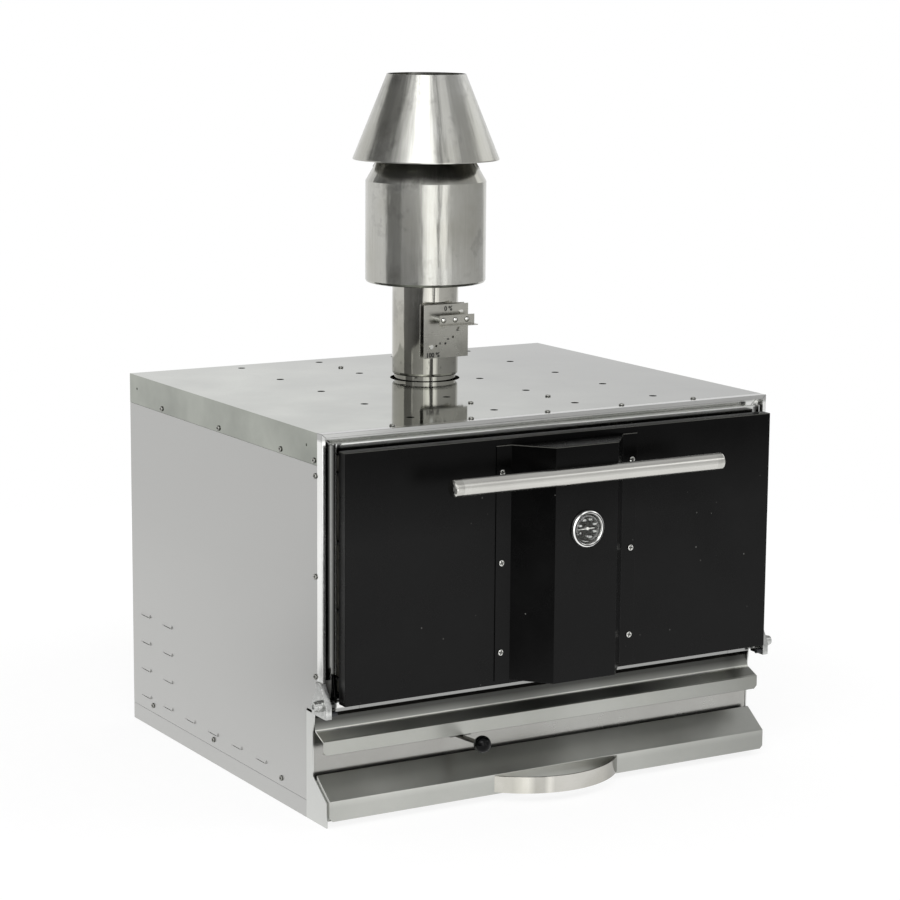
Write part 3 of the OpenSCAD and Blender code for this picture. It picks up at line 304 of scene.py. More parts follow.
@dataclass(frozen=True)
class BrushedSteel(Finish):
    """Stainless sheet or tube with a satin brush.

    The real brush marks are about 0.1 mm apart. They are drawn about 1.4 mm apart, because finer
    ones don't show at this size. The sheet's slight waves bend what it reflects.

    Attributes:
        grain: which way the brush ran.
        streak: how much single brush marks change the colour.
        blur: how far the brush marks stretch reflections across them, from 0 to 1.
        stain: how dark the handling marks are, from 0 to 1.
        bump: how deep the marks look, from 0 to 1.
        wave: how deep the sheet's own waves are, in millimetres.
        wave_size: waves a metre.
        smudge: how much fingerprints and dust change the roughness.
        tint: the second colour that the sheet drifts to.
        centre: the axis that a round grain runs about, in metres.
        lines: soft bands of painted shade in folds, grooves and seams, and of painted highlight
            where the share is above 1, each as what banded() takes from its axis on.
        fades: slow drifts of painted light and shade, each as what drifting() takes from its axis
            on.
    """

    grain: Grain = Grain.ALONG_X
    streak: float = 0.03
    blur: float = 0.0
    stain: float = 0.0
    bump: float = 0.05
    wave: float = 0.3
    wave_size: float = 3.0
    smudge: float = 0.05
    tint: str = "#b4b5b1"
    centre: tuple[float, float] = (0.012, 0.074)
    lines: tuple[tuple[Any, ...], ...] = ()
    fades: tuple[tuple[Any, ...], ...] = ()

    # Patches of tone and handling marks a metre, and how deep single brush marks are.
    PATCHES: ClassVar[float] = 7.0
    BLOTS: ClassVar[float] = 16.0
    MARK_DEPTH: ClassVar[float] = 0.4 * MM

    def unrolled(self, tree: Tree, at: Socket) -> Socket:
        """Gives the turn about the flue's axis and the height."""
        x, y = (calc(tree, "SUBTRACT", part_of(tree, at, axis), middle)
                for axis, middle in zip("XY", self.centre))
        return combined(tree, calc(tree, "ARCTAN2", y, x), part_of(tree, at, "Z"))

    def surface(self, tree: Tree, at: Socket) -> dict[str, Any]:
        """Gives brushed metal whose marks also shape its gloss and bumps."""
        flat = self.grain is not Grain.UP_THE_FLUE
        along = at if flat else self.unrolled(tree, at)
        marks = noise(tree, scaled(tree, along, self.grain.marks), 1.0, 3.0, 0.6)
        patches = noise(tree, at, self.PATCHES, 4.0, 0.55)
        waves = noise(tree, at if flat else scaled(tree, along, (1.0, 1.6, 1.0)),
                      self.wave_size)
        shade = span(tree, marks, 1 - self.streak, 1 + self.streak)
        if self.stain:
            blots = noise(tree, at, self.BLOTS, 5.0, 0.65)
            shade = calc(tree, "MULTIPLY", shade,
                         span(tree, blots, 1 - self.stain, 1.0, 0.36, 0.47))
        # Painted shade and painted highlights: the bands and drifts given as lines and fades.
        for line in self.lines:
            shade = banded(tree, shade, at, *line)
        for fade in self.fades:
            shade = drifting(tree, shade, at, *fade)
        colour = ramp(tree, patches, (0.3, self.tint), (0.7, self.colour))
        shaded = add_node(tree, "VectorMath", {0: colour, "Scale": shade}, operation="SCALE")
        gloss = 0.4 * self.streak
        rough = calc(tree, "ADD",
                     span(tree, patches, self.rough - self.smudge, self.rough + self.smudge),
                     span(tree, marks, -gloss, gloss))
        return {
            "Base Color": shaded.outputs[0], "Metallic": 1.0, "Roughness": rough,
            "Anisotropic": self.blur, "Anisotropic Rotation": 0.25,
            "Tangent": combined(tree, *self.grain.way),
            "Normal": bumped(tree, marks, self.bump, self.MARK_DEPTH,
                             Normal=bumped(tree, waves, 1.0, self.wave * MM))}


@dataclass(frozen=True)
class BlackEnamel(Finish):
    """Steel sprayed satin black and baked, with a fine orange peel and a little settled dust.

    Attributes:
        sheen: the paint's specular level, turned down towards the door's top as painted shade.
        worn: its colour where it is faintly rubbed.
        dust: how much of the surface carries specks, from 0 to 1.
        edges: folds with a painted highlight line, as (axis, distance from 0, half width), in
            metres.
    """

    sheen: float = 0.2
    worn: str = "#0c0c0c"
    dust: float = 0.5
    edges: tuple[tuple[str, float, float], ...] = ()

    # Clouds, peel and dust cells a metre, the greys of dust specks and of painted highlights, and
    # the heights between which the paint's reflection is turned down as painted shade.
    HAZE: ClassVar[float] = 9.0
    PEEL: ClassVar[float] = 900.0
    SPECKS: ClassVar[float] = 95.0
    SPECK_GREY: ClassVar[str] = "#8a8a86"
    HIGHLIGHT_GREY: ClassVar[str] = "#53534f"
    SHADED_TOP: ClassVar[tuple[float, float]] = (0.48, 0.62)

    def surface(self, tree: Tree, at: Socket) -> dict[str, Any]:
        """Gives hazy black paint with specks of dust, painted highlights along folds and painted
        shade at the top.
        """
        haze = noise(tree, at, self.HAZE, 5.0, 0.6)
        cell = add_node(tree, "TexVoronoi", {"Vector": at, "Scale": self.SPECKS}).outputs
        lot = add_node(tree, "SeparateColor", {"Color": cell["Color"]}).outputs["Red"]
        rare = span(tree, lot, 0.0, 1.0, 1.0 - 0.12 * self.dust, 1.0)
        near = span(tree, cell["Distance"], 1.0, 0.0, 0.05, 0.17)
        body = ramp(tree, haze, (0.3, self.colour), (0.75, self.worn))
        colour = mixed(tree, calc(tree, "MULTIPLY", rare, near), body, linear(self.SPECK_GREY))
        # Painted highlight: a light grey line along each fold in edges.
        whole: Value = 1.0
        for edge in self.edges:
            whole = banded(tree, whole, at, *edge, 0.0)
        return {
            "Base Color": mixed(tree, whole, linear(self.HIGHLIGHT_GREY), colour),
            "Roughness": span(tree, haze, self.rough - 0.05, self.rough + 0.07),
            # Painted shade: the paint's reflection is turned down towards the top.
            "Specular IOR Level": span(tree, part_of(tree, at, "Z"), self.sheen,
                                       self.sheen * 0.4, *self.SHADED_TOP),
            "Normal": bumped(tree, noise(tree, at, self.PEEL), 0.12, 0.5 * MM)}


@dataclass(frozen=True)
class SmoothFinish(Finish):
    """A polished, moulded or printed surface, with faint wear in its gloss.

    Attributes:
        metal: 1 for bare metal.
        clear: how much light goes through.
        veil: how much of the surface shows at all, less than 1 only for thin glass.
        sheen: the specular level, for what isn't metal.
        mark: the name of a point value that darkens the surface with painted shade, or nothing.
        drift: the second colour of the faint wear.
        grit: features a metre of the wear.
    """

    metal: float = 0.0
    clear: float = 0.0
    veil: float = 1.0
    sheen: float = 0.5
    mark: str = ""
    drift: str = "#101010"
    grit: float = 60.0

    # The colour of the painted shade that a mark lays on.
    RECESS_SHADE: ClassVar[str] = "#1c1b19"

    def surface(self, tree: Tree, at: Socket) -> dict[str, Any]:
        """Gives a smooth skin whose colour and gloss are faintly worn, darkened by any mark's
        painted shade.
        """
        worn = noise(tree, at, self.grit, 3.0)
        colour = ramp(tree, worn, (0.35, self.drift), (0.65, self.colour))
        if self.mark:
            level = add_node(tree, "Attribute", attribute_name=self.mark).outputs["Fac"]
            colour = mixed(tree, level, colour, linear(self.RECESS_SHADE))
        return {
            "Base Color": colour, "Specular IOR Level": self.sheen,
            "Metallic": self.metal, "Transmission Weight": self.clear, "Alpha": self.veil,
            "Roughness": span(tree, worn, self.rough * 0.85, self.rough * 1.15),
            "Normal": bumped(tree, worn, 0.03, 0.2 * MM)}


@dataclass(frozen=True)
class RoughFinish(Finish):
    """Heat-scaled plate, cast iron or fibre, with a coarse skin.

    Attributes:
        second: the colour of the scale, soot or loose fibres.
        metal: how metallic the skin still is.
        grit: features a metre.
        depth: how deep the skin's pits are, in metres.
    """

    second: str = "#2a2826"
    metal: float = 0.0
    grit: float = 200.0
    depth: float = 0.5 * MM

    def surface(self, tree: Tree, at: Socket) -> dict[str, Any]:
        """Gives a pitted skin that drifts between two colours."""
        pits = noise(tree, at, self.grit, 6.0, 0.6)
        patches = noise(tree, at, self.grit / 20, 5.0, 0.6)
        half = calc(tree, "MULTIPLY", calc(tree, "ADD", pits, patches), 0.5)
        return {
            "Base Color": ramp(tree, half, (0.35, self.second), (0.65, self.colour)),
            "Metallic": self.metal,
            "Roughness": span(tree, patches, self.rough - 0.08, self.rough + 0.08),
            "Normal": bumped(tree, pits, 0.6, self.depth)}


# 304 stainless sheet with a brush so fine that single marks hardly show: pale, cool grey.
FINE = {"bump": 0.004, "streak": 0.006}
# The sheets' drift paints them a little lighter towards the bottom.
SIDE_STEEL = BrushedSteel(
    "side_sheet_satin_steel", "#b3b3b1", 0.32, Grain.ALONG_Y, tint="#b1b1af", smudge=0.02,
    fades=(("Z", 0.4, 0.05, 1.1),), **FINE)
# The cheeks are the side sheet painted lighter, a painted light.
CHEEK_LIGHTER_STEEL = BrushedSteel(
    "cheek_painted_lighter_steel", "#cfd0cd", 0.32, Grain.ALONG_Y, tint="#cacbc8", smudge=0.02, **FINE)
# The lid's sheet is nearer a bright rolled finish, so it mirrors the flue.
# Its drift paints it darker towards the right, a painted shade.
LID_STEEL = BrushedSteel(
    "lid_sheet_bright_rolled_steel", "#a4a79f", 0.07, tint="#8a8d86", wave=0.25,
    smudge=0.025, fades=(("X", -0.3, 0.3, 0.35),), **FINE)
# The frame's rails are bright and white. Their bands paint shade on the groove's floor down both
# sides of the mouth, in the groove along the top and along the bottom rail.
FRAME_STEEL = BrushedSteel(
    "front_frame_bright_steel", "#efefed", 0.14, tint="#e4e5e2", bump=0.006, streak=0.05,
    smudge=0.03, lines=(("X", 0.4335, 0.010, 0.1, 0.643), ("Z", 0.6585, 0.010, 0.5),
                        ("Z", 0.1965, 0.0045, 0.4)))
# The door's inner tray is polished. Its bands paint shade on its sides, in the slot beside the
# pan and along its bottom edge.
LINER_STEEL = BrushedSteel(
    "door_tray_polished_steel", "#d6d7d4", 0.1, tint="#cacbc8", bump=0.006, streak=0.02,
    smudge=0.02, lines=(("X", 0.4355, 0.0065, 0.08), ("X", 0.423, 0.006, 0.2),
                        ("Z", 0.2, 0.0022, 0.5)))
# The low sheets are handled most, so they are wavier and more smudged. The shelf's slope lies
# between two heights. The shelf's drifts paint its reflections of the dark room and the lamps as
# darker and lighter stretches along it, and paint its ledge darker towards the top. Its bands
# paint shade under the lip and on the slope, and a highlight along the crease.
LOW_SHEET = {"smudge": 0.03, "wave": 0.35, "wave_size": 5.0}
SLOPE = (0.145, 0.1555)
SHELF_STEEL = BrushedSteel(
    "shelf_satin_steel", "#bbbcb7", 0.42, tint="#aeafa9", blur=0.6, **FINE, **LOW_SHEET,
    lines=(("Z", 0.1195, 0.0014, 0.4), ("Z", 0.1566, 0.0022, 2.0), ("Z", 0.149, 0.006, 0.85)),
    fades=(("Z", 0.156, 0.1705, 0.3), ("X", 0.2, 0.45, 0.78),
           ("X", 0.2, 0.45, 0.85, 0.0, 0.144), ("X", -0.28, -0.4, 1.85, *SLOPE),
           ("X", -0.24, -0.03, 0.4, *SLOPE), ("X", 0.18, 0.33, 4.0, *SLOPE),
           ("X", 0.335, 0.4, 0.5, *SLOPE)))
FASCIA_STEEL = BrushedSteel(
    "fascia_satin_steel", "#aeaeaa", 0.26, tint="#a09f9b", **FINE, **LOW_SHEET)
# Painted light: a lighter band across the drawer front, and a painted shade on its right end.
DRAWER_STEEL = BrushedSteel(
    "drawer_front_satin_steel", "#bdbeb9", 0.32, tint="#b0b1ac", bump=0.004, streak=0.005,
    blur=0.6, **LOW_SHEET, lines=(("Z", 0.066, 0.03, 1.25),),
    fades=(("X", 0.05, 0.45, 0.68),))
# The flue's drum and hat are rolled sheet, with streaks and handling marks up their height.
FLUE_STEEL = BrushedSteel(
    "flue_rolled_steel", "#bcbcb8", 0.21, Grain.UP_THE_FLUE, tint="#a8a79f", bump=0.03,
    streak=0.06, wave=1.2, wave_size=4.0, stain=0.2)
# The pipe is drawn tube and keeps a polish.
PIPE_STEEL = BrushedSteel(
    "flue_pipe_polished_steel", "#bab9b3", 0.08, Grain.UP_THE_FLUE, tint="#a5a39a",
    bump=0.02, streak=0.06, wave=0.6, wave_size=4.0, smudge=0.03, stain=0.2)
PLATE_STEEL = BrushedSteel(
    "damper_plate_satin_steel", "#b6b5ae", 0.28, tint="#a5a49c", bump=0.006, streak=0.015,
    stain=0.12)
# The handle's tube is satin and warm grey.
HANDLE_STEEL = BrushedSteel(
    "handle_tube_satin_steel", "#d3d2cd", 0.2, tint="#cbcac5", bump=0.01, smudge=0.03)
# The drawer's handle is polished flat bar, much brighter than the sheet behind it.
# Painted reflections: its drifts step the bar lighter and darker along it, and darker at its
# right end.
PULL_STEEL = BrushedSteel(
    "drawer_handle_polished_bar", "#dedcd6", 0.13, tint="#c0beb4", bump=0.004, streak=0.01,
    wave=2.6, wave_size=13.0,
    fades=(("X", -0.103, -0.088, 1.3), ("X", -0.081, -0.069, 0.62),
           ("X", -0.055, -0.047, 1.4), ("X", -0.044, -0.036, 0.78),
           ("X", -0.02, 0.07, 0.84), ("X", 0.07, 0.113, 0.55)))
CAP_STEEL = SmoothFinish("handle_cap_polished_steel", "#cccbc6", 0.14, 1.0, drift="#bcbbb6")
HINGE_STEEL = SmoothFinish("hinge_zinc_plated_steel", "#c2c3c1", 0.2, 1.0, drift="#aaaba9",
                           grit=120.0)
# The stop pins are painted dark as painted shade, so that they vanish into the shade of the gap
# under the door.
SHADED_PIN_STEEL = SmoothFinish("stop_pin_dark_painted_shade", "#23262b", 0.4, drift="#17181b", grit=200.0)
# Screws and rivets get painted shade in their recesses and round their feet.
SHADED_RECESSES = {"metal": 1.0, "grit": 300.0, "mark": "recess"}
SCREW_STEEL = SmoothFinish("screw_bright_steel", "#e6e6e2", 0.12, drift="#d2d2cd", **SHADED_RECESSES)
SCREW_DULL = SmoothFinish("casing_screw_passivated_steel", "#a3a39e", 0.28, drift="#8b8b86",
                          **SHADED_RECESSES)
RIVET_STEEL = SmoothFinish("rivet_bright_steel", "#e6e6e2", 0.2, drift="#d2d2cd", **SHADED_RECESSES)
# Baked satin black, a little smoother and blacker on the cover than on the pan behind it.
# The edges paint a thin highlight line along the pan's and the cover's top front edge.
DOOR_BLACK = BlackEnamel("door_satin_black_enamel", "#040404", 0.28, 0.16, "#0a0a0a", 0.3,
                         (("Z", 0.6362, 0.0007),))
COVER_BLACK = BlackEnamel("cover_satin_black_enamel", "#020202", 0.26, 0.165, "#060606", 0.15,
                          (("Z", 0.6247, 0.0009),))
# The bezel is white chrome, clouded by fine wear.
CHROME = SmoothFinish("bezel_chrome_plated_brass", "#f6f6f4", 0.2, 1.0, drift="#eeeeec")
# The dial's print sits on a dark, slightly warm lacquer.
DIAL_BLACK = SmoothFinish("dial_lacquered_aluminium", "#201f1b", 0.6, drift="#191915",
                          sheen=0.2)
DIAL_WHITE = SmoothFinish("dial_printed_white_ink", "#ffffff", 0.5, drift="#f8f8f4")
NEEDLE_WHITE = SmoothFinish("needle_painted_aluminium", "#fbfaf6", 0.35, drift="#f0efea")
# The glass is thin and clear, so most of it doesn't show.
CRYSTAL = SmoothFinish("thermometer_soda_glass", "#fbfdfc", 0.02, clear=1.0, drift="#f6faf8",
                       veil=0.2)
# The knob is deep, glossy black with weak reflections.
KNOB_BLACK = SmoothFinish("knob_polished_phenolic", "#010102", 0.04, drift="#020203",
                          sheen=0.14)
ROD_STEEL = SmoothFinish("register_rod_blued_steel", "#55534e", 0.18, 1.0, drift="#45433f")
STAMP_INK = SmoothFinish("stamped_mark_dark_steel", "#2c2b28", 0.6, drift="#22211f")
# What stands in the heat is scaled brown-grey, and the racks are tinted straw.
FIREBOX_PLATE = RoughFinish("firebox_heat_scaled_plate", "#4b4844", 0.55, "#2c2a28", 0.7, 120.0)
GRATE_IRON = RoughFinish("grate_cast_iron", "#3a3836", 0.62, "#242322", 0.35, 380.0, 0.8 * MM)
RACK_STEEL = BrushedSteel("rack_heat_tinted_steel", "#a8a49a", 0.24, Grain.ALONG_Y,
                          tint="#8f8775")
# Braided glass rope is off-white with grey where it takes soot.
SEAL_ROPE = RoughFinish("seal_braided_glass_rope", "#c9c5b8", 0.9, "#9c978a", 0.0, 900.0,
                        0.6 * MM)
WOOL = RoughFinish("insulation_ceramic_fibre", "#dedbd0", 0.95, "#c3bfb2", 0.0, 260.0, 2 * MM)


# ---------------------------------------------------------------- pieces


def new_object(name: str, data: bpy.types.ID) -> bpy.types.Object:
    """Makes an object and puts it into the scene.

    Args:
        name: its name.
        data: its mesh, curve, lamp or camera.

    Returns:
        The new object.
    """
    made = bpy.data.objects.new(name, data)
    bpy.context.scene.collection.objects.link(made)
    return made


def point_values(mesh: bpy.types.Mesh, name: str, values: Sequence[float]) -> None:
    """Stores a value at each point, which a material reads by its name."""
    mesh.attributes.new(name, "FLOAT", "POINT").data.foreach_set("value", values)


def rejoin(piece: bpy.types.Object) -> None:
    """Drops the normals that a CAD piece came with and joins its split edges."""
    piece.data.normals_split_custom_set([(0.0, 0.0, 0.0)] * len(piece.data.loops))
    piece.modifiers.new("joined edges", "WELD").merge_threshold = 0.01 * MM


def dress(node: str, finish: Finish, edge_mm: float) -> None:
    """Gives a CAD node its finish and slightly rounded edges.

    Args:
        node: the node's name.
        finish: its finish.
        edge_mm: the width of the rounded edges, or 0 for none.
    """
    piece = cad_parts[node]
    piece.data.materials.clear()
    piece.data.materials.append(finish.material())
    if edge_mm:
        rejoin(piece)
        piece.data.shade_smooth()
        bevel = piece.modifiers.new("rounded edges", "BEVEL")
        bevel.width = edge_mm * MM
        bevel.segments = 2
        bevel.limit_method = "ANGLE"
        bevel.angle_limit = math.radians(32)
        flat = piece.modifiers.new("flat faces", "WEIGHTED_NORMAL")
        flat.weight = 100
        flat.keep_sharp = True
    LOG.info("dressed %s in %s", node, finish.name)


def add_piece(name: str, verts: Iterable[Sequence[float]], faces: Iterable[Sequence[int]],
              finish: Finish, body: str, slot: str, smooth: bool = True) -> bpy.types.Object:
    """Makes a mesh piece in metres and hangs it on a body.

    Args:
        name: the piece's name.
        verts: its points, in metres.
        faces: its faces, as point numbers.
        finish: its finish.
        body: the body that it rides on.
        slot: the record's material slot that it stands for; not used.
        smooth: whether its faces are shaded smooth.

    Returns:
        The new object.
    """
    mesh = bpy.data.meshes.new(name)
    mesh.from_pydata([tuple(v) for v in verts], [], [tuple(f) for f in faces])
    mesh.validate()
    if smooth:
        mesh.shade_smooth()
        mesh.set_sharp_from_angle(angle=math.radians(40))
    mesh.materials.append(finish.material())
    piece = new_object(name, mesh)
    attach(piece, body)
    LOG.info("built %s on %s: %d points", name, body, len(mesh.vertices))
    return piece


def join(meshes: Iterable[Mesh]) -> Mesh:
    """Joins several meshes into one.

    Args:
        meshes: their point and face lists.

    Returns:
        One point and face list.
    """
    verts: list[Vector] = []
    faces: list[tuple[int, ...]] = []
    for more_verts, more_faces in meshes:
        start = len(verts)
        verts += more_verts
        faces += [tuple(i + start for i in f) for f in more_faces]
    return verts, faces


def angles(sides: int) -> list[float]:
    """Gives even angles round one turn, in radians."""
    return [2 * math.pi * k / sides for k in range(sides)]


def quads(rings: int, sides: int, closed: bool = False) -> list[tuple[int, ...]]:
    """Gives the faces between rings of points, and from the last to the first if closed."""
    return [(i * sides + k, i * sides + (k + 1) % sides,
             (i + 1) % rings * sides + (k + 1) % sides, (i + 1) % rings * sides + k)
            for i in range(rings if closed else rings - 1) for k in range(sides)]


def turned(profile: Profile, sides: int, unit: float = MM) -> Mesh:
    """Turns a profile about +Z.

    Args:
        profile: (radius, height) pairs from the bottom up. A radius of 0 closes an end.
        sides: points round each ring.
        unit: the profile's unit in metres.

    Returns:
        The turned mesh.
    """
    verts: list[Vector] = []
    faces: list[tuple[int, ...]] = []
    rings: list[list[int]] = []
    for r, z in ((r * unit, z * unit) for r, z in profile):
        if r <= 0:
            rings.append([len(verts)] * sides)
            verts.append(Vector((0, 0, z)))
            continue
        rings.append(list(range(len(verts), len(verts) + sides)))
        verts += [Vector((r * math.cos(a), r * math.sin(a), z)) for a in angles(sides)]
    for low, high in zip(rings, rings[1:]):
        for k in range(sides):
            j = (k + 1) % sides
            kept = tuple(dict.fromkeys((low[k], low[j], high[j], high[k])))
            if len(kept) > 2:
                faces.append(kept)
    return verts, faces


def moved(mesh: Mesh, at: Sequence[float], normal: Sequence[float], roll: float = 0.0) -> Mesh:
    """Moves a mesh to a place, rolled about its +Z, which then looks along a normal."""
    turn = Vector(normal).to_track_quat("Z", "Y").to_matrix() @ Matrix.Rotation(roll, 3, "Z")
    return [turn @ v + Vector(at) for v in mesh[0]], mesh[1]


def islands(node: str) -> list[tuple[Vector, Vector]]:
    """Gives the box of each separate solid in a CAD node.

    Args:
        node: the node's name.

    Returns:
        (lowest corner, highest corner) pairs.
    """
    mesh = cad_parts[node].data
    keys: dict[tuple[int, ...], int] = {}
    same = [keys.setdefault(tuple(round(c * 2e5) for c in v.co), v.index)
            for v in mesh.vertices]
    root = list(range(len(same)))

    def find(i: int) -> int:
        """Gives the first point of an island.

        Args:
            i: the number of one of its points.

        Returns:
            The first point's number.
        """
        while root[i] != i:
            root[i] = root[root[i]]
            i = root[i]
        return i

    for i, j in enumerate(same):
        root[find(i)] = find(j)
    for polygon in mesh.polygons:
        first = find(polygon.vertices[0])
        for other in polygon.vertices[1:]:
            root[find(other)] = first
    groups: dict[int, list[Vector]] = {}
    for v in mesh.vertices:
        groups.setdefault(find(v.index), []).append(v.co)
    return [(Vector(np.min(g, axis=0)), Vector(np.max(g, axis=0))) for g in groups.values()]


def flat_text(text: str, at: Vector, size: float, bold: float = 0.035) -> Mesh:
    """Builds flat characters that face -Y, centred on a point.

    Args:
        text: the characters.
        at: their middle.
        size: their height in metres.
        bold: how much each stroke is thickened, as a share of the height.

    Returns:
        Their mesh.
    """
    curve = bpy.data.curves.new("figures", "FONT")
    curve.body = text
    curve.size = size
    curve.align_x = "CENTER"
    curve.align_y = "CENTER"
    curve.resolution_u = 4
    curve.offset = bold * size
    shown = new_object("figures", curve)
    mesh = bpy.data.meshes.new_from_object(
        shown.evaluated_get(bpy.context.evaluated_depsgraph_get()))
    verts = [Vector((v.co.x, 0, v.co.y)) + at for v in mesh.vertices]
    faces = [tuple(p.vertices) for p in mesh.polygons]
    bpy.data.objects.remove(shown)
    bpy.data.meshes.remove(mesh)
    bpy.data.curves.remove(curve)
    return verts, faces


@dataclass
class PanScrew:
    """A pan-head screw with a cross recess, drawn about its seat.

    Attributes:
        radius: the head's radius in metres.
        height: the head's height in metres.
        arm: the recess's half length, as a share of the radius.
        wide: the recess's half width, as a share of the radius.
        deep: the recess's depth, as a share of the height.
        slopes: how far its ends and its sides slope, as shares of the radius.
        sides: points round each ring.
        rings: the top's rings, as shares of the radius.
        rim: the levels of the rim's two rings, as shares of the height.
    """

    radius: float
    height: float = 2.8 * MM
    arm: float = 0.7
    wide: float = 0.22
    deep: float = 0.55
    slopes: tuple[float, float] = (0.1, 0.05)
    sides: int = 48
    rings: tuple[float, ...] = (0.0, 0.08, 0.16, 0.24, 0.34, 0.45, 0.56, 0.66, 0.76, 0.86, 0.94)
    rim: tuple[float, ...] = (0.55, 0.0)

    def mesh(self) -> Mesh:
        """Builds the head as rings whose tops sink into the recess, over an upright rim.

        Returns:
            The head's mesh.
        """
        circle = [(math.cos(a), math.sin(a)) for a in angles(self.sides)]
        verts = [Vector((share * c * self.radius, share * s * self.radius,
                         self.top(share * c, share * s)))
                 for share in self.rings for c, s in circle]
        verts += [Vector((self.radius * c, self.radius * s, level * self.height))
                  for level in self.rim for c, s in circle]
        faces = quads(len(self.rings + self.rim), self.sides)
        return verts, [face[::-1] for face in faces]

    def recess(self, x: float, y: float) -> float:
        """Gives how deep in the recess a point is.

        Args:
            x: its place along one arm, as a share of the radius.
            y: its place along the other arm.

        Returns:
            A depth from 0 to 1.
        """
        depth = 0.0
        for along, across in ((abs(x), abs(y)), (abs(y), abs(x))):
            inside = min((self.arm - along) / self.slopes[0],
                         (self.wide - across) / self.slopes[1])
            depth = max(depth, min(1.0, max(0.0, inside)))
        return depth

    def top(self, x: float, y: float) -> float:
        """Gives the head's height at a point that is given in shares of its radius."""
        dome = self.height * (0.72 + 0.28 * math.sqrt(max(0.0, 1 - x * x - y * y)))
        return dome - self.deep * self.height * self.recess(x, y)

    def marks(self, mesh: Mesh) -> list[float]:
        """Gives each point's painted shade: in the recess, and on the lowest ring round the seat.
        """
        r = self.radius
        return [1.0 if v.z < 0.1 * self.height else 0.85 * self.recess(v.x / r, v.y / r)
                for v in mesh[0]]


@dataclass
class ScrewSet:
    """The detailed heads that stand for a CAD node's plain screw heads.

    Attributes:
        node: the CAD node.
        body: the body that they ride on.
        seed: what turns each cross recess its own way.
        radius: the heads' radius in metres.
        finish: what the heads are dressed in.
    """

    node: str
    body: str
    seed: int
    radius: float
    finish: Finish

    def build(self) -> None:
        """Builds a head at each solid of the node, which is thinnest along the screw."""
        rng = random.Random(self.seed)
        screw = PanScrew(self.radius)
        head = screw.mesh()
        heads = []
        for lo, hi in islands(self.node):
            sizes, seat = list(hi - lo), (lo + hi) / 2
            axis = sizes.index(min(sizes))
            outward = -1 if axis == 1 or (axis == 0 and seat.x < 0) else 1
            normal = Vector((0, 0, 0))
            normal[axis] = outward
            seat[axis] = lo[axis] if outward > 0 else hi[axis]
            heads.append(moved(head, seat, normal, rng.uniform(0, math.pi)))
        piece = add_piece(self.node + "_heads", *join(heads), self.finish, self.body,
                          "fasteners")
        # Painted shade in each cross recess and round each head's foot.
        point_values(piece.data, "recess", screw.marks(head) * len(heads))
        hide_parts(self.node)


@dataclass
class SoftSlab:
    """A fibre slab made from a CAD slab, with rounded, slightly uneven faces.

    Attributes:
        node: the CAD node that it stands for.
        body: the body that it rides on.
        voxel: the size of its faces in metres.
    """

    node: str
    body: str
    voxel: float

    def build(self) -> None:
        """Copies the node's shape, remeshes it and ruffles it inwards."""
        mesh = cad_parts[self.node].data.copy()
        mesh.materials.clear()
        mesh.materials.append(WOOL.material())
        piece = new_object(self.node + "_fibre", mesh)
        rejoin(piece)
        remesh = piece.modifiers.new("even faces", "REMESH")
        remesh.mode = "VOXEL"
        remesh.voxel_size = self.voxel
        remesh.use_smooth_shade = True
        ruffle = piece.modifiers.new("tufts", "DISPLACE")
        ruffle.texture = bpy.data.textures.new(self.node + "_tufts", "CLOUDS")
        ruffle.texture.noise_scale = 30 * MM
        ruffle.strength = -1.6 * MM
        ruffle.mid_level = 0.0
        shown = piece.evaluated_get(bpy.context.evaluated_depsgraph_get())
        final = bpy.data.meshes.new_from_object(shown)
        piece.modifiers.clear()
        piece.data = final
        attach(piece, self.body)
        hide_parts(self.node)
        LOG.info("built %s: %d points", piece.name, len(final.vertices))


# ---------------------------------------------------------------- the oven


Coats = tuple[tuple[Finish, float, tuple[str, ...]], ...]


@dataclass
class Assembly:
    """A group of CAD nodes with what stands for them or adds to them.

    Attributes:
        coats: finishes, each with the edges' width in millimetres and the nodes that it dresses.
    """

    coats: Coats = ()

    def build(self) -> None:
        """Builds the finer pieces, of which most groups have none."""

    def dress(self) -> None:
        """Dresses the group's CAD nodes."""
        for finish, edge_mm, nodes in self.coats:
            for node in nodes:
                dress(node, finish, edge_mm)


@dataclass
class Casing(Assembly):
    """The sheet body: tray, panels, lid, front frame, shelf and fascia."""

    coats: Coats = (
        (SIDE_STEEL, 0.3, ("base_tray", "left_side_panel", "right_side_panel", "back_panel")),
        (CHEEK_LIGHTER_STEEL, 0.3, ("left_cheek", "right_cheek")),
        (FASCIA_STEEL, 0.3, ("fascia",)),
        (LID_STEEL, 0.0, ("lid",)),
        (FRAME_STEEL, 0.5, ("front_frame",)),
        (SHELF_STEEL, 0.5, ("front_shelf",)),
        (SHELF_STEEL, 0.3, ("register_guides", "register_plate")))
    screw_radius: float = 4.8 * MM

    def build(self) -> None:
        """Builds the casing's screw heads."""
        ScrewSet("casing_screws", "oven", 11, self.screw_radius, SCREW_DULL).build()


@dataclass
class Hinges(Assembly):
    """Brackets, bushes, bolts and stop pins."""

    coats: Coats = (
        (HINGE_STEEL, 0.5, ("left_hinge_bracket", "right_hinge_bracket", "hinge_bushes",
                            "hinge_bolts")),
        (SHADED_PIN_STEEL, 0.5, ("stop_pins",)))


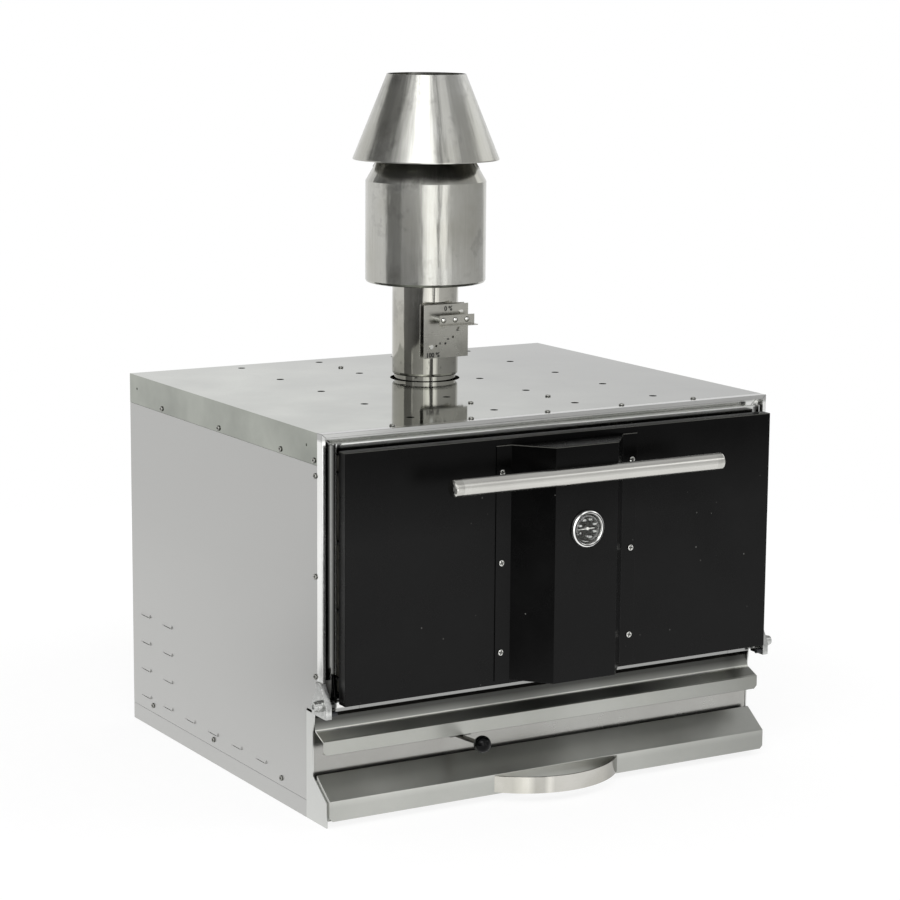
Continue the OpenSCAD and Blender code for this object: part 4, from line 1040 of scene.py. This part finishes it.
@dataclass
class DoorSeal(Assembly):
    """A braided glass rope laid round the mouth.

    Attributes:
        pitch: the length of one braid cross, in metres. A real rope has about 4 mm. It is drawn
            at 9 mm, so that it shows.
        sides: points round the rope.
        corner: the radius that the rope turns with.
        width: the CAD seal's width.
        play: how much thinner the rope is drawn than the seal, on each side and in depth.
    """

    pitch: float = 9 * MM
    sides: int = 16
    corner: float = 9 * MM
    width: float = 12 * MM
    play: tuple[float, float] = (0.6 * MM, 0.3 * MM)

    def centre_line(self, half_x: float, low: float, high: float) -> list[tuple[Vector, Vector]]:
        """Gives points along the rope with the way outwards at each.

        Args:
            half_x: half the width between the rope's middles.
            low: the height of its lower run's middle.
            high: the height of its upper run's middle.

        Returns:
            (point, outward direction) pairs at even steps.
        """
        r, step = self.corner, self.pitch / 6
        right, bottom, top = half_x - r, low + r, high - r
        bends = [Vector((x, 0, z)) for x, z in ((right, top), (-right, top), (-right, bottom),
                                                (right, bottom))]
        line = []
        for i, bend in enumerate(bends):
            for k in range(7):
                a = 0.5 * i * math.pi + k / 6 * math.pi / 2
                out = Vector((math.cos(a), 0, math.sin(a)))
                line.append((bend + r * out, out))
            begin, end = line[-1][0], bends[(i + 1) % 4] + r * out
            count = int((end - begin).length / step)
            line += [(begin.lerp(end, k / count), out) for k in range(1, count)]
        return line

    def build(self) -> None:
        """Sweeps a soft square section with raised braid crosses along the line."""
        lo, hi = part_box("door_seal")
        half = self.width / 2
        deep, mid_y = (hi.y - lo.y) / 2 - self.play[1], (lo.y + hi.y) / 2
        wide = half - self.play[0]
        line = self.centre_line(hi.x - half, lo.z + half, hi.z - half)
        verts: list[Vector] = []
        run = 0.0
        for i, (point, out) in enumerate(line):
            run += (point - line[i - 1][0]).length if i else 0.0
            turn = 2 * math.pi * run / self.pitch
            for a in angles(self.sides):
                braid = abs(math.sin(2 * a + turn / 2)) + abs(math.sin(2 * a - turn / 2))
                swell = 0.9 + 0.07 * braid
                c, s = math.cos(a), math.sin(a)
                square = (abs(c) ** 4 + abs(s) ** 4) ** -0.25 * 0.94
                verts.append(point + out * (c * wide * swell * square)
                             + Vector((0, mid_y + s * deep * swell * square, 0)))
        faces = quads(len(line), self.sides, closed=True)
        piece = add_piece("door_seal_rope", verts, faces, SEAL_ROPE, "oven", "seal_rope")
        piece.data.set_sharp_from_angle(angle=math.pi)
        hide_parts("door_seal")


@dataclass
class Door(Assembly):
    """The drop-down door with its cover and handle."""

    coats: Coats = (
        (DOOR_BLACK, 0.8, ("door_pan",)),
        (COVER_BLACK, 1.6, ("door_cover",)),
        (DOOR_BLACK, 0.0, ("door_spacers",)),
        (LINER_STEEL, 0.5, ("door_liner",)),
        (HANDLE_STEEL, 0.0, ("handle_tube", "handle_posts")),
        (CAP_STEEL, 0.0, ("handle_caps",)))
    screw_radius: float = 5.4 * MM
    wool_voxel: float = 9 * MM

    def build(self) -> None:
        """Builds the cover's screw heads and the wool inside."""
        ScrewSet("cover_screws", "door", 23, self.screw_radius, SCREW_STEEL).build()
        SoftSlab("door_insulation", "door", self.wool_voxel).build()


@dataclass
class Thermometer(Assembly):
    """The dial thermometer on the door's cover.

    Attributes:
        centre: the dial's middle, in metres.
        face_y: where the dial's face lies.
        radius: the dial's radius.
        start: the angle of the first mark, anticlockwise from +X, in degrees.
        sweep: how far the scale turns clockwise, in degrees.
        top: the scale's last number.
        steps: how many numbers follow the first.
        rest: where the cold needle points, anticlockwise from +X, in degrees.
        gasket: the middle radius and the width of the dark ring round the dial.
        ink: how far the marks' print stands proud of the face, and the numbers' print.
        marks_at: the radius of the scale's arc, as a share of the dial's.
        numbers_at: the radius of the numbers' middles, as a share of the dial's.
        sizes: the height of the numbers and of the unit's letter.
        gap: the first and the last angle of the thick arc in the scale's gap, in degrees.
        long_mark: the length and width of a numbered mark in millimetres.
        short_mark: the length and width of the marks between.
        needle: its half widths from tip to tail, as (radius, half width) in millimetres.
        needle_y: where the needle's back and front lie.
        hub: the hub's (radius, height) outline in millimetres.
        hub_y: where the hub starts.
    """

    coats: Coats = ((CHROME, 0.0, ("thermometer_case",)),
                    (CHROME, 0.3, ("thermometer_probe",)))
    centre: tuple[float, float] = (0.0, 0.482)
    face_y: float = -0.4970
    radius: float = 27.4 * MM
    start: float = 206.0
    sweep: float = 275.0
    top: int = 600
    steps: int = 6
    rest: float = 181.0
    gasket: tuple[float, float] = (28.2 * MM, 1.7 * MM)
    ink: tuple[float, float] = (0.32 * MM, 0.34 * MM)
    marks_at: float = 0.8
    numbers_at: float = 0.58
    sizes: tuple[float, float] = (4.5 * MM, 5.0 * MM)
    gap: tuple[float, float] = (-84, -116)
    long_mark: tuple[float, float] = (2.6, 0.6)
    short_mark: tuple[float, float] = (1.5, 0.3)
    needle: Profile = ((20.5, 0.25), (0.0, 0.8), (-7.0, 0.65), (-13.5, 0.35))
    needle_y: tuple[float, float] = (-0.4982, -0.4989)
    hub: Profile = ((0, 0.0), (1.5, 0.0), (1.5, 0.8), (2.8, 0.8), (2.6, 2.6), (1.6, 3.4),
                    (0, 3.6))
    hub_y: float = -0.4962

    def at(self, r: float, degrees: float, y: float) -> Vector:
        """Gives a point on the dial, r metres from its middle."""
        a = math.radians(degrees)
        return Vector((self.centre[0] + r * math.cos(a), y, self.centre[1] + r * math.sin(a)))

    def facing(self, mesh: Mesh, y: float) -> Mesh:
        """Puts a turned mesh on the dial's axis, facing forward."""
        return moved(mesh, (self.centre[0], y, self.centre[1]), FORWARD)

    def bar(self, r0: float, r1: float, degrees: float, width: float) -> Mesh:
        """Builds a printed radial mark.

        Args:
            r0: the radius at which it starts, in metres.
            r1: the radius at which it ends.
            degrees: its angle, anticlockwise from +X.
            width: its width in metres.

        Returns:
            The mark's mesh.
        """
        y = self.face_y - self.ink[0]
        a = math.radians(degrees)
        side = Vector((-math.sin(a), 0, math.cos(a))) * width / 2
        p, q = self.at(r0, degrees, y), self.at(r1, degrees, y)
        return [p - side, p + side, q + side, q - side], [(0, 1, 2, 3)]

    def arc(self, r: float, width: float, a0: float, a1: float, steps: int = 60) -> Mesh:
        """Builds a printed arc.

        Args:
            r: its middle radius in metres.
            width: its width in metres.
            a0: its first angle, anticlockwise from +X, in degrees.
            a1: its last angle.
            steps: how many faces it has.

        Returns:
            The arc's mesh.
        """
        y = self.face_y - self.ink[0]
        verts = [self.at(r + d, a0 + (a1 - a0) * k / steps, y)
                 for k in range(steps + 1) for d in (-width / 2, width / 2)]
        return verts, [(2 * k, 2 * k + 1, 2 * k + 3, 2 * k + 2) for k in range(steps)]

    def digits(self, text: str, r: float, degrees: float, size: float) -> Mesh:
        """Builds a printed number, upright about a point on the dial."""
        return flat_text(text, self.at(r, degrees, self.face_y - self.ink[1]), size)

    def build(self) -> None:
        """Builds the face, its print and gasket, the needle and the glass."""
        r = self.radius
        face = turned([(0, 0.2 * MM), (r * 0.97, 0.2 * MM), (r, 0.05 * MM), (r, -0.4 * MM),
                       (0, -0.4 * MM)], 96, 1.0)
        add_piece("dial_face", *self.facing(face, self.face_y), DIAL_BLACK, "door",
                  "bezel_chrome")
        self.build_print()
        verts, faces = self.arc(*self.gasket, 0, 360, 96)
        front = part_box("thermometer_case")[0].y - 0.05 * MM
        add_piece("dial_gasket", [Vector((v.x, front, v.z)) for v in verts], faces, KNOB_BLACK,
                  "door", "bezel_chrome", smooth=False)
        self.build_pointer()
        self.build_glass()

    def build_print(self) -> None:
        """Builds the scale's arcs, marks and numbers."""
        r, ticks = self.radius, self.steps * 10
        outer = r * self.marks_at
        marks = [self.arc(outer, 0.35 * MM, self.start, self.start - self.sweep),
                 self.arc(r * 0.82, 0.7 * MM, *self.gap, 20)]
        for k in range(ticks + 1):
            long, wide = self.short_mark if k % 10 else self.long_mark
            marks.append(self.bar(outer - long * MM, outer,
                                  self.start - self.sweep * k / ticks, wide * MM))
        for k in range(self.steps + 1):
            marks.append(self.digits(str(self.top * k // self.steps), r * self.numbers_at,
                                     self.start - self.sweep * k / self.steps,
                                     self.sizes[0]))
        marks.append(self.digits("F", r * 0.5, 270, self.sizes[1]))
        add_piece("dial_print", *join(marks), DIAL_WHITE, "door", "needle_paint", smooth=False)

    def build_pointer(self) -> None:
        """Builds the needle as a tapered strip with a tail and a domed hub."""
        a = math.radians(self.rest)
        along = Vector((math.cos(a), 0, math.sin(a)))
        across = Vector((-math.sin(a), 0, math.cos(a)))
        outline = [*self.needle, *((r, -w) for r, w in reversed(self.needle))]
        middle = Vector((self.centre[0], 0, self.centre[1]))
        strip = [middle + (along * r + across * w) * MM + Vector((0, y, 0))
                 for y in self.needle_y for r, w in outline]
        n = len(outline)
        faces = [tuple(range(n)), tuple(range(2 * n - 1, n - 1, -1))]
        faces += [(k, k + n, (k + 1) % n + n, (k + 1) % n) for k in range(n)]
        hub = self.facing(turned(self.hub, 32), self.hub_y)
        piece = add_piece("thermometer_pointer", *join([(strip, faces), hub]), NEEDLE_WHITE,
                          "needle", "needle_paint")
        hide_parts("thermometer_needle")

    def build_glass(self) -> None:
        """Builds the glass with a flat back and a slightly domed front."""
        lo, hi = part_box("thermometer_glass")
        r, rise, rim = (hi.x - lo.x) / 2, 1.1 * MM, 0.4 * MM
        profile = [(r * share, 0.0) for share in (0, 0.5, 1.0)]
        profile += [(r * share, rise * (1 - share ** 2) + rim)
                    for share in (1.0, 0.92, 0.8, 0.6, 0.4, 0.2, 0)]
        piece = add_piece("thermometer_crystal", *self.facing(turned(profile, 96, 1.0), hi.y),
                          CRYSTAL, "door", "gauge_glass")
        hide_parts("thermometer_glass")


@dataclass
class Drawer(Assembly):
    """The ash drawer and its handle."""

    coats: Coats = (
        (DRAWER_STEEL, 0.6, ("drawer_front",)),
        (PULL_STEEL, 0.4, ("drawer_handle",)),
        (FIREBOX_PLATE, 0.3, ("drawer_box", "drawer_runners")))


@dataclass
class Register(Assembly):
    """The air register's rod and knob."""

    coats: Coats = ((ROD_STEEL, 0.0, ("register_rod",)),
                    (KNOB_BLACK, 0.0, ("register_knob",)))


@dataclass
class Firebox(Assembly):
    """The firebox with its grate, chute, runners, racks and insulation."""

    coats: Coats = (
        (FIREBOX_PLATE, 0.3, ("firebox", "ash_chute", "rack_runners")),
        (GRATE_IRON, 0.8, ("fire_grate",)),
        (RACK_STEEL, 0.0, ("lower_rack", "upper_rack")))
    wool_voxel: float = 12 * MM

    def build(self) -> None:
        """Builds the insulation slabs."""
        SoftSlab("insulation", "oven", self.wool_voxel).build()


@dataclass
class Flue(Assembly):
    """The flue pipe, its damper, the spark arrester and the hat.

    Attributes:
        rivet: a rivet's (radius, height) outline in millimetres.
        figures: the damper plate's figures, each with its middle's x and z in metres and its
            height in millimetres.
    """

    coats: Coats = (
        (FLUE_STEEL, 0.0, ("arrester_floor", "arrester_drum", "arrester_shoulder", "flue_hat",
                           "hat_struts")),
        (PIPE_STEEL, 0.0, ("flue_spigot", "flue_pipe")),
        (PLATE_STEEL, 0.25, ("damper_back_plate", "damper_front_plate", "damper_lever")),
        (HINGE_STEEL, 0.3, ("damper_shaft",)),
        (RIVET_STEEL, 0.3, ("damper_spacers",)),
        (FIREBOX_PLATE, 0.2, ("damper_blade", "spark_baffle")))
    rivet: Profile = ((0, 0.0), (5.0, 0.0), (4.9, 0.3), (4.2, 0.4), (3.5, 0.9), (2.6, 1.8),
                      (1.4, 2.3), (0, 2.5))
    figures: tuple[tuple[str, float, float, float], ...] = (
        ("0 %", 0.016, 0.7995, 11.5), ("100 %", -0.016, 0.7155, 11.5),
        ("75", -0.001, 0.736, 5.0), ("50", 0.016, 0.7435, 5.0), ("25", 0.036, 0.759, 5.0))

    def build(self) -> None:
        """Builds the lever's domed rivets and the marks on the damper's plate."""
        dome = turned(self.rivet, 32)
        heads = [moved(dome, ((lo.x + hi.x) / 2, hi.y, (lo.z + hi.z) / 2), FORWARD)
                 for lo, hi in islands("lever_rivets")]
        piece = add_piece("lever_rivet_domes", *join(heads), RIVET_STEEL, "damper", "fasteners")
        # Painted shade round each rivet's foot.
        foot = [1.0 if math.hypot(v.x, v.y) > 3.7 * MM else 0.0 for v in dome[0]]
        point_values(piece.data, "recess", foot * len(heads))
        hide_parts("lever_rivets")
        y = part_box("damper_front_plate")[0].y - 0.05 * MM
        marks = [flat_text(text, Vector((x, y, z)), size * MM, 0.05)
                 for text, x, z, size in self.figures]
        add_piece("damper_plate_numbers", *join(marks), STAMP_INK, "oven", "flue_steel",
                  smooth=False)


# ---------------------------------------------------------------- floor, light and camera


def shown_rays(tree: Tree) -> Socket:
    """Tells the rays apart that end in the picture from those that light the oven.

    Args:
        tree: the node tree.

    Returns:
        1 for what the camera sees directly, mirrored or through glass, and 0 otherwise.
    """
    path = add_node(tree, "LightPath").outputs
    seen = calc(tree, "MAXIMUM", path["Is Camera Ray"], path["Is Transmission Ray"])
    return calc(tree, "MAXIMUM", seen, path["Is Glossy Ray"])


@dataclass(frozen=True)
class Card:
    """A curved reflector that only glossy surfaces see.

    Attributes:
        name: its name.
        start: its first angle from the camera's own direction, in degrees, + to the right.
        end: its last angle.
        low: its lower edge's height in metres.
        high: its upper edge's height in metres.
        levels: its brightness at the start and at the end.
        flat: whether it lies on the floor, from radius low to radius high.
    """

    name: str
    start: float
    end: float
    low: float
    high: float
    levels: tuple[float, float]
    flat: bool = False


@dataclass
class Studio:
    """The floor, the world, the lamps, the cards and the camera.

    Attributes:
        azimuth: the camera's azimuth in degrees.
        elevation: how far it looks down, in degrees.
        roll: its roll in degrees.
        eye: where it stands, in metres.
        lens: its lens on a 36 mm sensor.
        reach: the cards' distance from the oven in metres.
        ambient: the world's brightness for matt surfaces.
        cards: the reflectors, in tiers from low to high, and one on the floor.
        ceiling: the glowing ceiling's radius, height and brightness.
        floor: the floor's radius and height.
        floor_glow: how bright the floor shows beyond the oven's shadow.
        fade: the radii between which the shadow gives way to the glow.
    """

    azimuth: float = -30.635
    elevation: float = 10.106
    roll: float = 0.429
    eye: Point = (-2.4727, -4.2155, 1.4096)
    lens: float = 107.94
    reach: float = 3.0
    ambient: float = 0.62
    cards: tuple[Card, ...] = (
        Card("low_dark_left", -80, -8, -1.6, 0.53, (0.24, 0.04)),
        Card("low_softbox", -5, 24, -1.6, 0.53, (1.2, 2.2)),
        Card("low_dark_strip", 26, 34, -1.6, 0.53, (0.15, 0.15)),
        Card("low_light_strip", 35, 50, -1.6, 0.53, (1.9, 1.4)),
        Card("low_grey_right", 52, 142, -1.6, 0.53, (0.85, 0.6)),
        Card("mid_dark_left", -79, -46, 0.53, 1.7, (0.26, 0.3)),
        Card("mid_grey_front", -44, -9, 0.53, 1.7, (0.55, 0.75)),
        Card("mid_softbox", -7, 19, 0.53, 1.7, (1.5, 2.6)),
        Card("mid_dark_strip", 21, 28, 0.53, 1.7, (0.2, 0.2)),
        Card("mid_light_strip", 29, 42, 0.53, 1.7, (2.7, 1.5)),
        Card("mid_grey_right", 43, 142, 0.53, 1.7, (0.72, 0.55)),
        Card("high_dark_left", -100, -66, 1.7, 4.2, (0.3, 0.22)),
        Card("high_edge_left", -66, -32, 1.7, 4.2, (0.3, 1.5)),
        Card("high_glow_left", -32, -12, 1.7, 4.2, (1.6, 4.2)),
        Card("high_softbox", -12, 13, 1.7, 4.2, (4.2, 2.6)),
        Card("high_glow_right", 13, 26, 1.7, 4.2, (2.0, 0.3)),
        Card("high_dark_strip", 26, 34, 1.7, 4.2, (0.12, 0.16)),
        Card("high_light_strip", 35, 62, 1.7, 4.2, (1.3, 0.9)),
        Card("handle_band", 63, 142, 1.7, 2.4, (1.5, 1.3)),
        Card("high_grey_right", 63, 142, 2.4, 4.2, (0.5, 0.5)),
        Card("dark_above_back", 142, 280, 2.2, 4.2, (0.16, 0.16)),
        Card("above", -80, 280, 4.2, 6.0, (0.6, 0.6)),
        Card("dark_floor_left", -88, -17, 1.0, 2.9, (0.2, 0.2), flat=True))
    ceiling: tuple[float, float, float] = (3.4, 6.0, 0.6)
    floor: tuple[float, float] = (2.3, -0.4 * MM)
    floor_glow: float = 1.06
    fade: tuple[float, float] = (0.9, 2.1)

    def direction(self, degrees: float) -> Vector:
        """Gives a level direction.

        Args:
            degrees: its angle from the camera's own direction, + to the right.

        Returns:
            The direction, one metre long.
        """
        az, a = math.radians(self.azimuth), math.radians(degrees)
        back = Vector((math.sin(az), -math.cos(az), 0))
        right = Vector((math.cos(az), math.sin(az), 0))
        return back * math.cos(a) + right * math.sin(a)

    def hang_cards(self) -> None:
        """Builds the cards and a ceiling, which glow as strongly as each corner's level."""
        material, tree = new_tree("studio_card")
        level = add_node(tree, "Attribute", attribute_name="level").outputs["Fac"]
        glow = add_node(tree, "Emission", {"Strength": level})
        add_node(tree, "OutputMaterial", {"Surface": glow.outputs[0]})
        for card in self.cards:
            steps = max(4, int((card.end - card.start) / 2))
            verts, levels = [], []
            for k in range(steps + 1):
                share = k / steps
                way = self.direction(card.start + (card.end - card.start) * share)
                for edge in (card.low, card.high):
                    verts.append(way * edge + Vector((0, 0, 1 * MM)) if card.flat
                                 else way * self.reach + Vector((0, 0, edge)))
                    levels.append(card.levels[0] + (card.levels[1] - card.levels[0]) * share)
            faces = [(2 * k, 2 * k + 2, 2 * k + 3, 2 * k + 1) for k in range(steps)]
            self.stage_mesh(card.name, verts, faces, material, levels)
        radius, height, brightness = self.ceiling
        ring = [self.direction(a) * radius + Vector((0, 0, height)) for a in range(0, 360, 10)]
        self.stage_mesh("ceiling", ring, [tuple(range(len(ring)))], material,
                        [brightness] * len(ring))

    def stage_mesh(self, name: str, verts: list[Vector], faces: list[tuple[int, ...]],
                   material: bpy.types.Material, levels: list[float]) -> None:
        """Makes a staging mesh that only glossy rays meet.

        Args:
            name: its name.
            verts: its points in metres.
            faces: its faces, as point numbers.
            material: what it glows with.
            levels: how strongly it glows at each point.
        """
        mesh = bpy.data.meshes.new(name)
        mesh.from_pydata(verts, [], faces)
        mesh.materials.append(material)
        point_values(mesh, "level", levels)
        card = new_object(name, mesh)
        for kind in ("camera", "diffuse", "shadow", "transmission", "volume_scatter"):
            setattr(card, "visible_" + kind, False)

    def lay_floor(self) -> None:
        """Lays a round pale floor that keeps a soft shadow and shows white elsewhere."""
        radius, height = self.floor
        mesh = bpy.data.meshes.new("floor")
        ring = [Vector((radius * math.cos(a), radius * math.sin(a), height))
                for a in angles(96)]
        mesh.from_pydata(ring, [], [tuple(range(len(ring)))])
        material, tree = new_tree("studio_floor_paint")
        at = place(tree)
        paint = add_node(tree, "BsdfDiffuse", {"Color": ramp(
            tree, noise(tree, at, 30.0, 4.0), (0.3, "#f4f4f4"), (0.7, "#fafafa"))})
        glow = add_node(tree, "Emission", {"Color": (1, 1, 1, 1), "Strength": self.floor_glow})
        out = add_node(tree, "VectorMath", {0: at}, operation="LENGTH").outputs["Value"]
        share = calc(tree, "MULTIPLY", shown_rays(tree),
                     span(tree, out, 0.8, 1.0, *self.fade))
        mix = add_node(tree, "MixShader", {0: share, 1: paint.outputs[0], 2: glow.outputs[0]})
        add_node(tree, "OutputMaterial", {"Surface": mix.outputs[0]})
        mesh.materials.append(material)
        floor = new_object("floor", mesh)

    def light(self) -> None:
        """Sets the world and two broad lamps."""
        world = bpy.data.worlds.new("studio")
        bpy.context.scene.world = world
        world.use_nodes = True
        tree = world.node_tree
        tree.nodes.clear()
        strength = span(tree, shown_rays(tree), self.ambient, 1.0, 0.0, 1.0)
        sky = add_node(tree, "Background", {"Color": (1, 1, 1, 1), "Strength": strength})
        add_node(tree, "OutputWorld", {"Surface": sky.outputs[0]})
        self.lamp("key_lamp", (-2.2, -2.6, 3.4), 2.2, 60.0)
        self.lamp("fill_lamp", (2.8, -2.2, 2.4), 2.2, 28.0)

    def lamp(self, name: str, at: Point, size: float, watts: float) -> None:
        """Hangs a square lamp that looks at the oven and that metal doesn't mirror.

        Args:
            name: its name.
            at: its place in metres.
            size: the length of its sides in metres.
            watts: its power.
        """
        data = bpy.data.lights.new(name, "AREA")
        data.shape = "SQUARE"
        data.size = size
        data.energy = watts
        lamp = new_object(name, data)
        lamp.location = at
        lamp.rotation_euler = (Vector((0, 0, 0.4)) - Vector(at)).to_track_quat(
            "-Z", "Y").to_euler()
        lamp.visible_glossy = False

    def set_camera(self) -> None:
        """Sets the camera where the photograph was taken from."""
        az, el, roll = (math.radians(v) for v in (self.azimuth, self.elevation, self.roll))
        back = Vector((math.sin(az) * math.cos(el), -math.cos(az) * math.cos(el),
                       math.sin(el)))
        level = Vector((math.cos(az), math.sin(az), 0))
        above = back.cross(level)
        right = level * math.cos(roll) + above * math.sin(roll)
        up = above * math.cos(roll) - level * math.sin(roll)
        data = bpy.data.cameras.new("camera")
        data.lens = self.lens
        data.sensor_width = 36.0
        camera = new_object("camera", data)
        turn = Matrix((right, up, back)).transposed().to_4x4()
        camera.matrix_world = Matrix.Translation(Vector(self.eye)) @ turn
        bpy.context.scene.camera = camera

    def build(self) -> None:
        """Sets up the whole studio."""
        bpy.context.scene.view_settings.view_transform = "Standard"
        self.set_camera()
        self.lay_floor()
        self.hang_cards()
        self.light()


def main() -> None:
    """Sets up the studio, then builds and dresses the oven."""
    logging.basicConfig(level=logging.INFO, format="%(message)s")
    Studio().build()
    for assembly in (Casing(), Hinges(), DoorSeal(), Door(), Thermometer(), Drawer(),
                     Register(), Firebox(), Flue()):
        assembly.build()
        assembly.dress()


if __name__ == "__main__":
    main()
